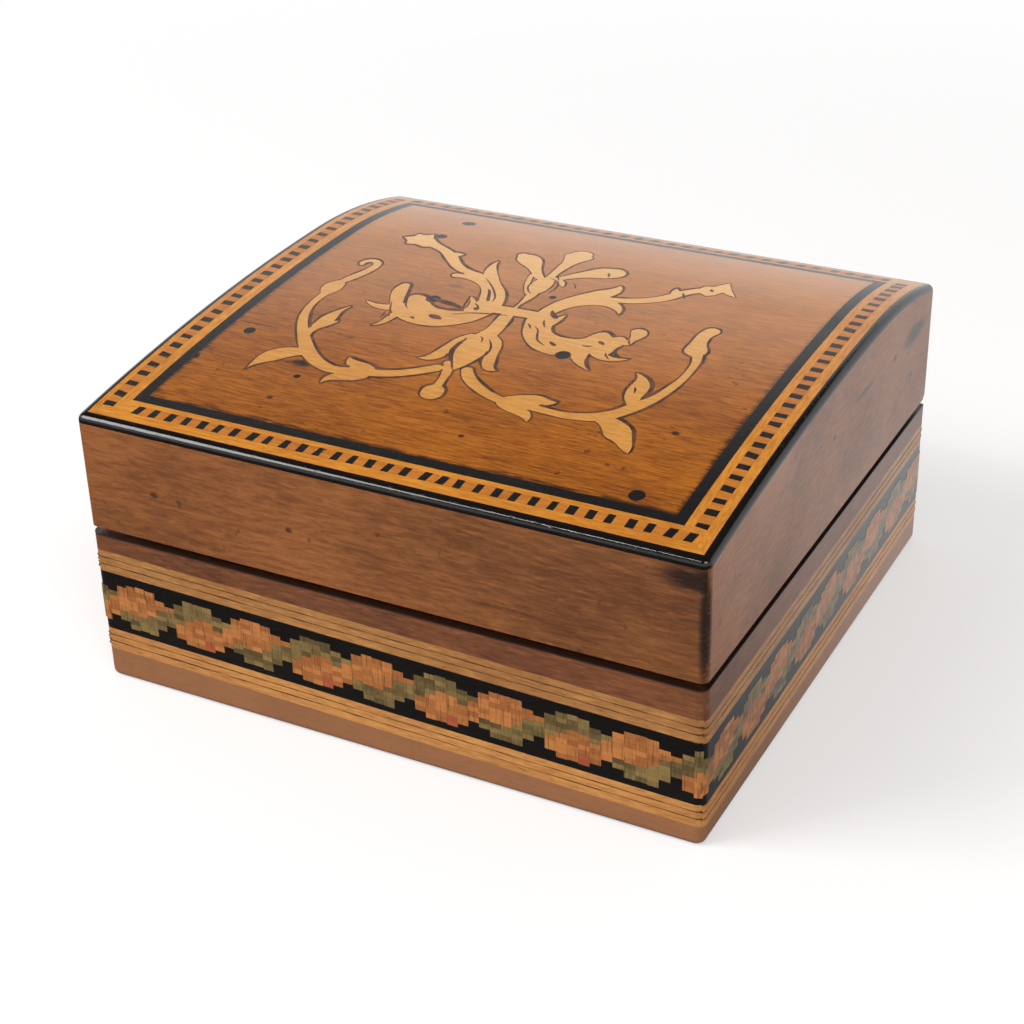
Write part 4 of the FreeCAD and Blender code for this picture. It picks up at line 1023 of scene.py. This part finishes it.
for side in SIDES:
    node = f"{side}_ladder_banding"
    out, outer, wide, way = ladder_frame(side)
    blocks = Blocks(f"{side}_ladder_squares", "lid", [black_wood, amber], "ladder")
    squares, first, last, low, high = LADDER_ROW[side]
    near, far = outer - wide * low, outer - wide * high
    pitch = (last - first) / (squares - 1) * MM
    start = first * MM - pitch * BLACK_SHARE / 2
    edges = []
    for i in range(squares):
        edges.append(start + i * pitch + rng.uniform(*PLACE_SPREAD) * pitch)
        edges.append(edges[-1] + pitch * BLACK_SHARE * rng.uniform(*WIDTH_SPREAD))
    for i in range(2 * squares - 1):
        dark = i % 2 == 0
        a, b = edges[i], edges[i + 1]
        lean = SKEW * pitch * rng.uniform(*LEAN_SPREAD) if dark else 0.0
        plan = [(a, near), (b, near), (b + lean, far), (a + lean, far)]
        flat = [way * along + out * across for along, across in plan]
        up = face_height(node, *flat[0].xy)[1]
        blocks.add([on_ladder(*point.xy) for point in flat], up, 0 if dark else 1)
    blocks.place()

# %% [markdown]
# ## Rims of the scrolls
# The scrolls were cut with a fret saw, and the cut around them was filled with dark glue. To draw that
# line, the edge of the inlay is read from its own mesh: an edge of a top face that no other top face
# shares is on the rim. Those edges are chained to loops.

# %% Rims of the scrolls
LAID_FACES = ("field_veneer", "arabesque_inlay", "face_plugs")
FACES_UP = 0.5
SAME_POINT = 7
SHORTEST_LOOP = 8


def on_lid(x, y):
    """The point of the lid's inlaid face straight below (x, y)."""
    hits = [face_height(node, x, y)[0] for node in LAID_FACES]
    return max((hit for hit in hits if hit is not None), key=lambda hit: hit.z, default=None)


def rim_loops(node):
    """Closed lines of points round the top faces of a piece, with the piece on their left."""
    mesh = nodes[node].data
    edges = set()
    for face in mesh.polygons:
        if face.normal.z > FACES_UP:
            places = [mesh.vertices[i].co for i in face.vertices]
            corners = [tuple(round(part, SAME_POINT) for part in place) for place in places]
            edges.update(zip(corners, corners[1:] + corners[:1]))
    follow = {}
    for a, b in edges:
        if (b, a) not in edges:
            follow.setdefault(a, []).append(b)
    loops = []
    for start in sorted(follow):
        while follow.get(start):
            loop = [start]
            while follow.get(loop[-1]):
                loop.append(follow[loop[-1]].pop())
            if loop[0] == loop[-1] and len(loop) > SHORTEST_LOOP:
                loops.append([Vector(point) for point in loop[:-1]])
    return loops


scroll_rims = rim_loops("arabesque_inlay")
print(len(scroll_rims), "loops round the scrolls")

# %% [markdown]
# ## Saw lines
# The saw line swells and thins, and painted shade makes it heavier on one side of the scrolls. Noise
# along the line gives its width, and a ribbon is laid along each loop.

# %% Saw lines
KERF_THIN = 0.12 * MM
KERF_WIDE = 0.72 * MM
# The way to the side where painted shade makes the saw line heavier
KERF_SHADE_SIDE = Vector((0.5, 0.8, 0.0))
KERF_LAP = 0.03
KERF_MIDDLE = 0.42
SWELL, TREMBLE, SHADE_LOPSIDED = 0.7, 0.2, 0.18
KERF_CURVE = 1.5
SWELL_STEPS, TREMBLE_STEPS = 130, 700
SWELL_FROM = Vector((3.1, 7.7, 0.0))


def kerf_width(point, aside):
    """The saw line's width: slow swells, a quicker tremble, and painted shade on one side of the scrolls.
    """
    slow = wander(point * SWELL_STEPS + SWELL_FROM)
    quick = wander(point * TREMBLE_STEPS)
    share = KERF_MIDDLE + SWELL * slow + TREMBLE * quick + SHADE_LOPSIDED * aside.dot(KERF_SHADE_SIDE)
    share = min(max(share, 0.0), 1.0)
    return KERF_THIN + (KERF_WIDE - KERF_THIN) * share ** KERF_CURVE


def beside(points, i, closed=True):
    """The way to the right of a line of points at one of them."""
    before = points[i - 1] if closed or i else points[i]
    after = points[(i + 1) % len(points)] if closed or i + 1 < len(points) else points[i]
    way = (after - before).normalized()
    return Vector((way.y, -way.x, 0))


kerf_dark, tree = new_material("saw_line")
dirt = noise(stretched(millimetres(tree), (0.5, 0.5, 0.5)), 3.0)
lacquered(tree, dirt.smooth(0.35, 0.65).mix(linear(104, 58, 26), linear(50, 28, 15)), 0.3)
kerf = Blocks("saw_lines", "lid", [kerf_dark], "dark_plug")
for loop in scroll_rims:
    lefts, rights = [], []
    for i, point in enumerate(loop):
        aside = beside(loop, i)
        outer = point + aside * kerf_width(point, aside)
        lefts.append(point - aside * KERF_LAP * MM)
        rights.append(on_lid(outer.x, outer.y) or outer)
    kerf.run(lefts, rights, closed=True)
kerf.place()

# %% [markdown]
# ## Veins and shading lines in the scrolls
# Leaves and buds also have dark lines inside them, cut after the inlay was laid. They are drawn on
# the flat plan of the lid, in millimetres. Each has its own greatest width, then the points it goes
# through.

# %% Drawn veins
LEFT_VEINS = [
    (0.38, [(-22.3, 3.0), (-21.5, 1.2), (-20.8, -0.4), (-20.1, -1.9), (-19.2, -2.9)]),
    (0.3, [(-22.8, -1.6), (-22.0, -3.4), (-21.2, -5.0), (-20.5, -6.6)]),
    (0.25, [(-22.0, -5.0), (-21.7, -6.3), (-21.6, -7.4)]),
    (1.2, [(-17.4, 1.7), (-15.4, 1.3), (-13.2, 0.9), (-11.0, 0.3)]),
    (0.35, [(-16.2, -0.4), (-14.6, -1.1), (-12.8, -0.6), (-11.2, 0.2)]),
    (0.45, [(-17.4, -5.3), (-16.9, -5.4), (-16.5, -5.7)]),
    (0.28, [(-11.6, -2.2), (-9.8, -1.0), (-7.6, -0.2), (-5.0, 0.4), (-3.2, 0.6)]),
    (0.3, [(-11.5, 3.6), (-10.9, 1.8), (-10.7, 0.4)]),
    (0.3, [(-10.2, 2.6), (-9.2, 1.8), (-9.0, 0.6)]),
    (0.35, [(-13.0, 11.6), (-11.2, 9.8), (-9.4, 7.6), (-8.2, 5.6), (-7.9, 4.2)]),
]
BUD_VEINS = [
    (0.42, [(-5.9, -9.0), (-5.9, -11.6), (-5.2, -14.0), (-4.0, -16.2), (-3.2, -17.6)]),
    (0.3, [(-4.0, -7.1), (-3.4, -7.6), (-3.0, -8.8)]),
    (0.36, [(-2.3, -7.4), (-1.2, -9.0), (-0.6, -10.6), (-0.5, -12.4)]),
    (0.36, [(-0.9, -13.4), (-0.4, -14.2), (0.3, -14.8)]),
    (0.3, [(-6.3, -13.6), (-6.0, -14.4), (-5.6, -15.2)]),
]
FLOWER_VEINS = [
    (0.45, [(4.3, 21.3), (4.6, 20.6), (4.9, 19.8)]),
    (0.32, [(-3.4, 15.6), (-1.8, 14.9), (-1.1, 13.6), (-0.9, 12.0), (-1.2, 10.2)]),
    (0.32, [(-5.5, 13.0), (-5.2, 11.2), (-4.4, 9.8), (-3.6, 9.2)]),
    (0.3, [(1.0, 15.2), (1.6, 14.4), (2.0, 13.6)]),
    (0.25, [(-2.9, 17.6), (-2.3, 16.2), (-1.7, 15.2)]),
    (0.4, [(18.3, 18.8), (18.8, 17.8), (19.4, 16.8)]),
    (0.6, [(21.7, 21.9), (22.0, 21.5), (22.3, 21.1)]),
]
RIGHT_VEINS = [
    (0.36, [(2.2, -1.0), (3.2, -2.0), (3.8, -3.4), (4.5, -4.8), (5.4, -5.6), (6.4, -6.1)]),
    (0.3, [(0.8, -0.6), (1.4, -1.2), (1.9, -2.0)]),
    (0.35, [(2.6, 1.4), (3.0, 0.4), (3.8, -0.8)]),
    (0.7, [(2.3, 4.9), (2.8, 3.8), (3.5, 2.6)]),
    (0.65, [(6.6, -4.7), (7.4, -5.3), (8.0, -5.6)]),
    (0.75, [(13.4, -1.9), (14.0, -2.2), (14.6, -2.6)]),
    (0.3, [(11.6, -4.0), (12.4, -4.0), (13.2, -3.6)]),
    (0.3, [(15.9, -4.8), (16.3, -5.6), (17.2, -6.5)]),
    (0.3, [(17.4, 0.4), (17.8, -0.6), (18.2, -1.2)]),
    (0.55, [(17.1, -3.4), (17.4, -4.6), (18.4, -5.1)]),
    (0.7, [(14.1, -6.4), (14.3, -8.0), (15.2, -9.6), (16.2, -10.6)]),
    (0.45, [(12.4, 1.4), (13.4, 1.6), (14.4, 1.1), (15.2, 0.6)]),
    (0.35, [(24.2, -12.6), (24.6, -13.3), (24.8, -14.2)]),
]
VEINS = LEFT_VEINS + BUD_VEINS + FLOWER_VEINS + RIGHT_VEINS
print(len(VEINS), "veins drawn")

# %% [markdown]
# ## Cutting the veins
# A curve object would give a smooth line too, but it can't follow the dome. So a smooth line is worked out
# through the drawn points, and both its edges are dropped on to the face. A vein is thin at its ends.

# %% Veins
VEIN_STEPS = 6
VEIN_TIP = 0.12
VEIN_SWELL = 0.7


def drawn_line(points):
    """More points on a smooth line through a few."""
    flat = [Vector((x * MM, y * MM)) for x, y in points]
    padded = [flat[0] * 2 - flat[1]] + flat + [flat[-1] * 2 - flat[-2]]
    made = []
    for a, b, c, d in zip(padded, padded[1:], padded[2:], padded[3:]):
        for step in range(VEIN_STEPS):
            t = step / VEIN_STEPS
            made.append(0.5 * (2 * b + (c - a) * t + (2 * a - 5 * b + 4 * c - d) * t * t
                               + (3 * b - a - 3 * c + d) * t ** 3))
    return made + [flat[-1]]


veins = Blocks("scroll_veins", "lid", [kerf_dark], "dark_plug")
for widest, points in VEINS:
    line = [point.to_3d() for point in drawn_line(points)]
    lefts, rights = [], []
    for i, point in enumerate(line):
        share = i / (len(line) - 1)
        swell = VEIN_TIP + (1 - VEIN_TIP) * math.sin(math.pi * share) ** VEIN_SWELL
        aside = beside(line, i, closed=False) * (widest * MM * swell / 2)
        lefts.append(on_lid(point.x - aside.x, point.y - aside.y))
        rights.append(on_lid(point.x + aside.x, point.y + aside.y))
    veins.run(lefts, rights)
veins.place()

# %% [markdown]
# ## Size of the dressed box
# The dressed box should stay inside the box of the construction, so its size is printed.

# %% Finish
low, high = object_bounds()
print("dressed box", [round((b - a) / MM, 2) for a, b in zip(low, high)], "mm")
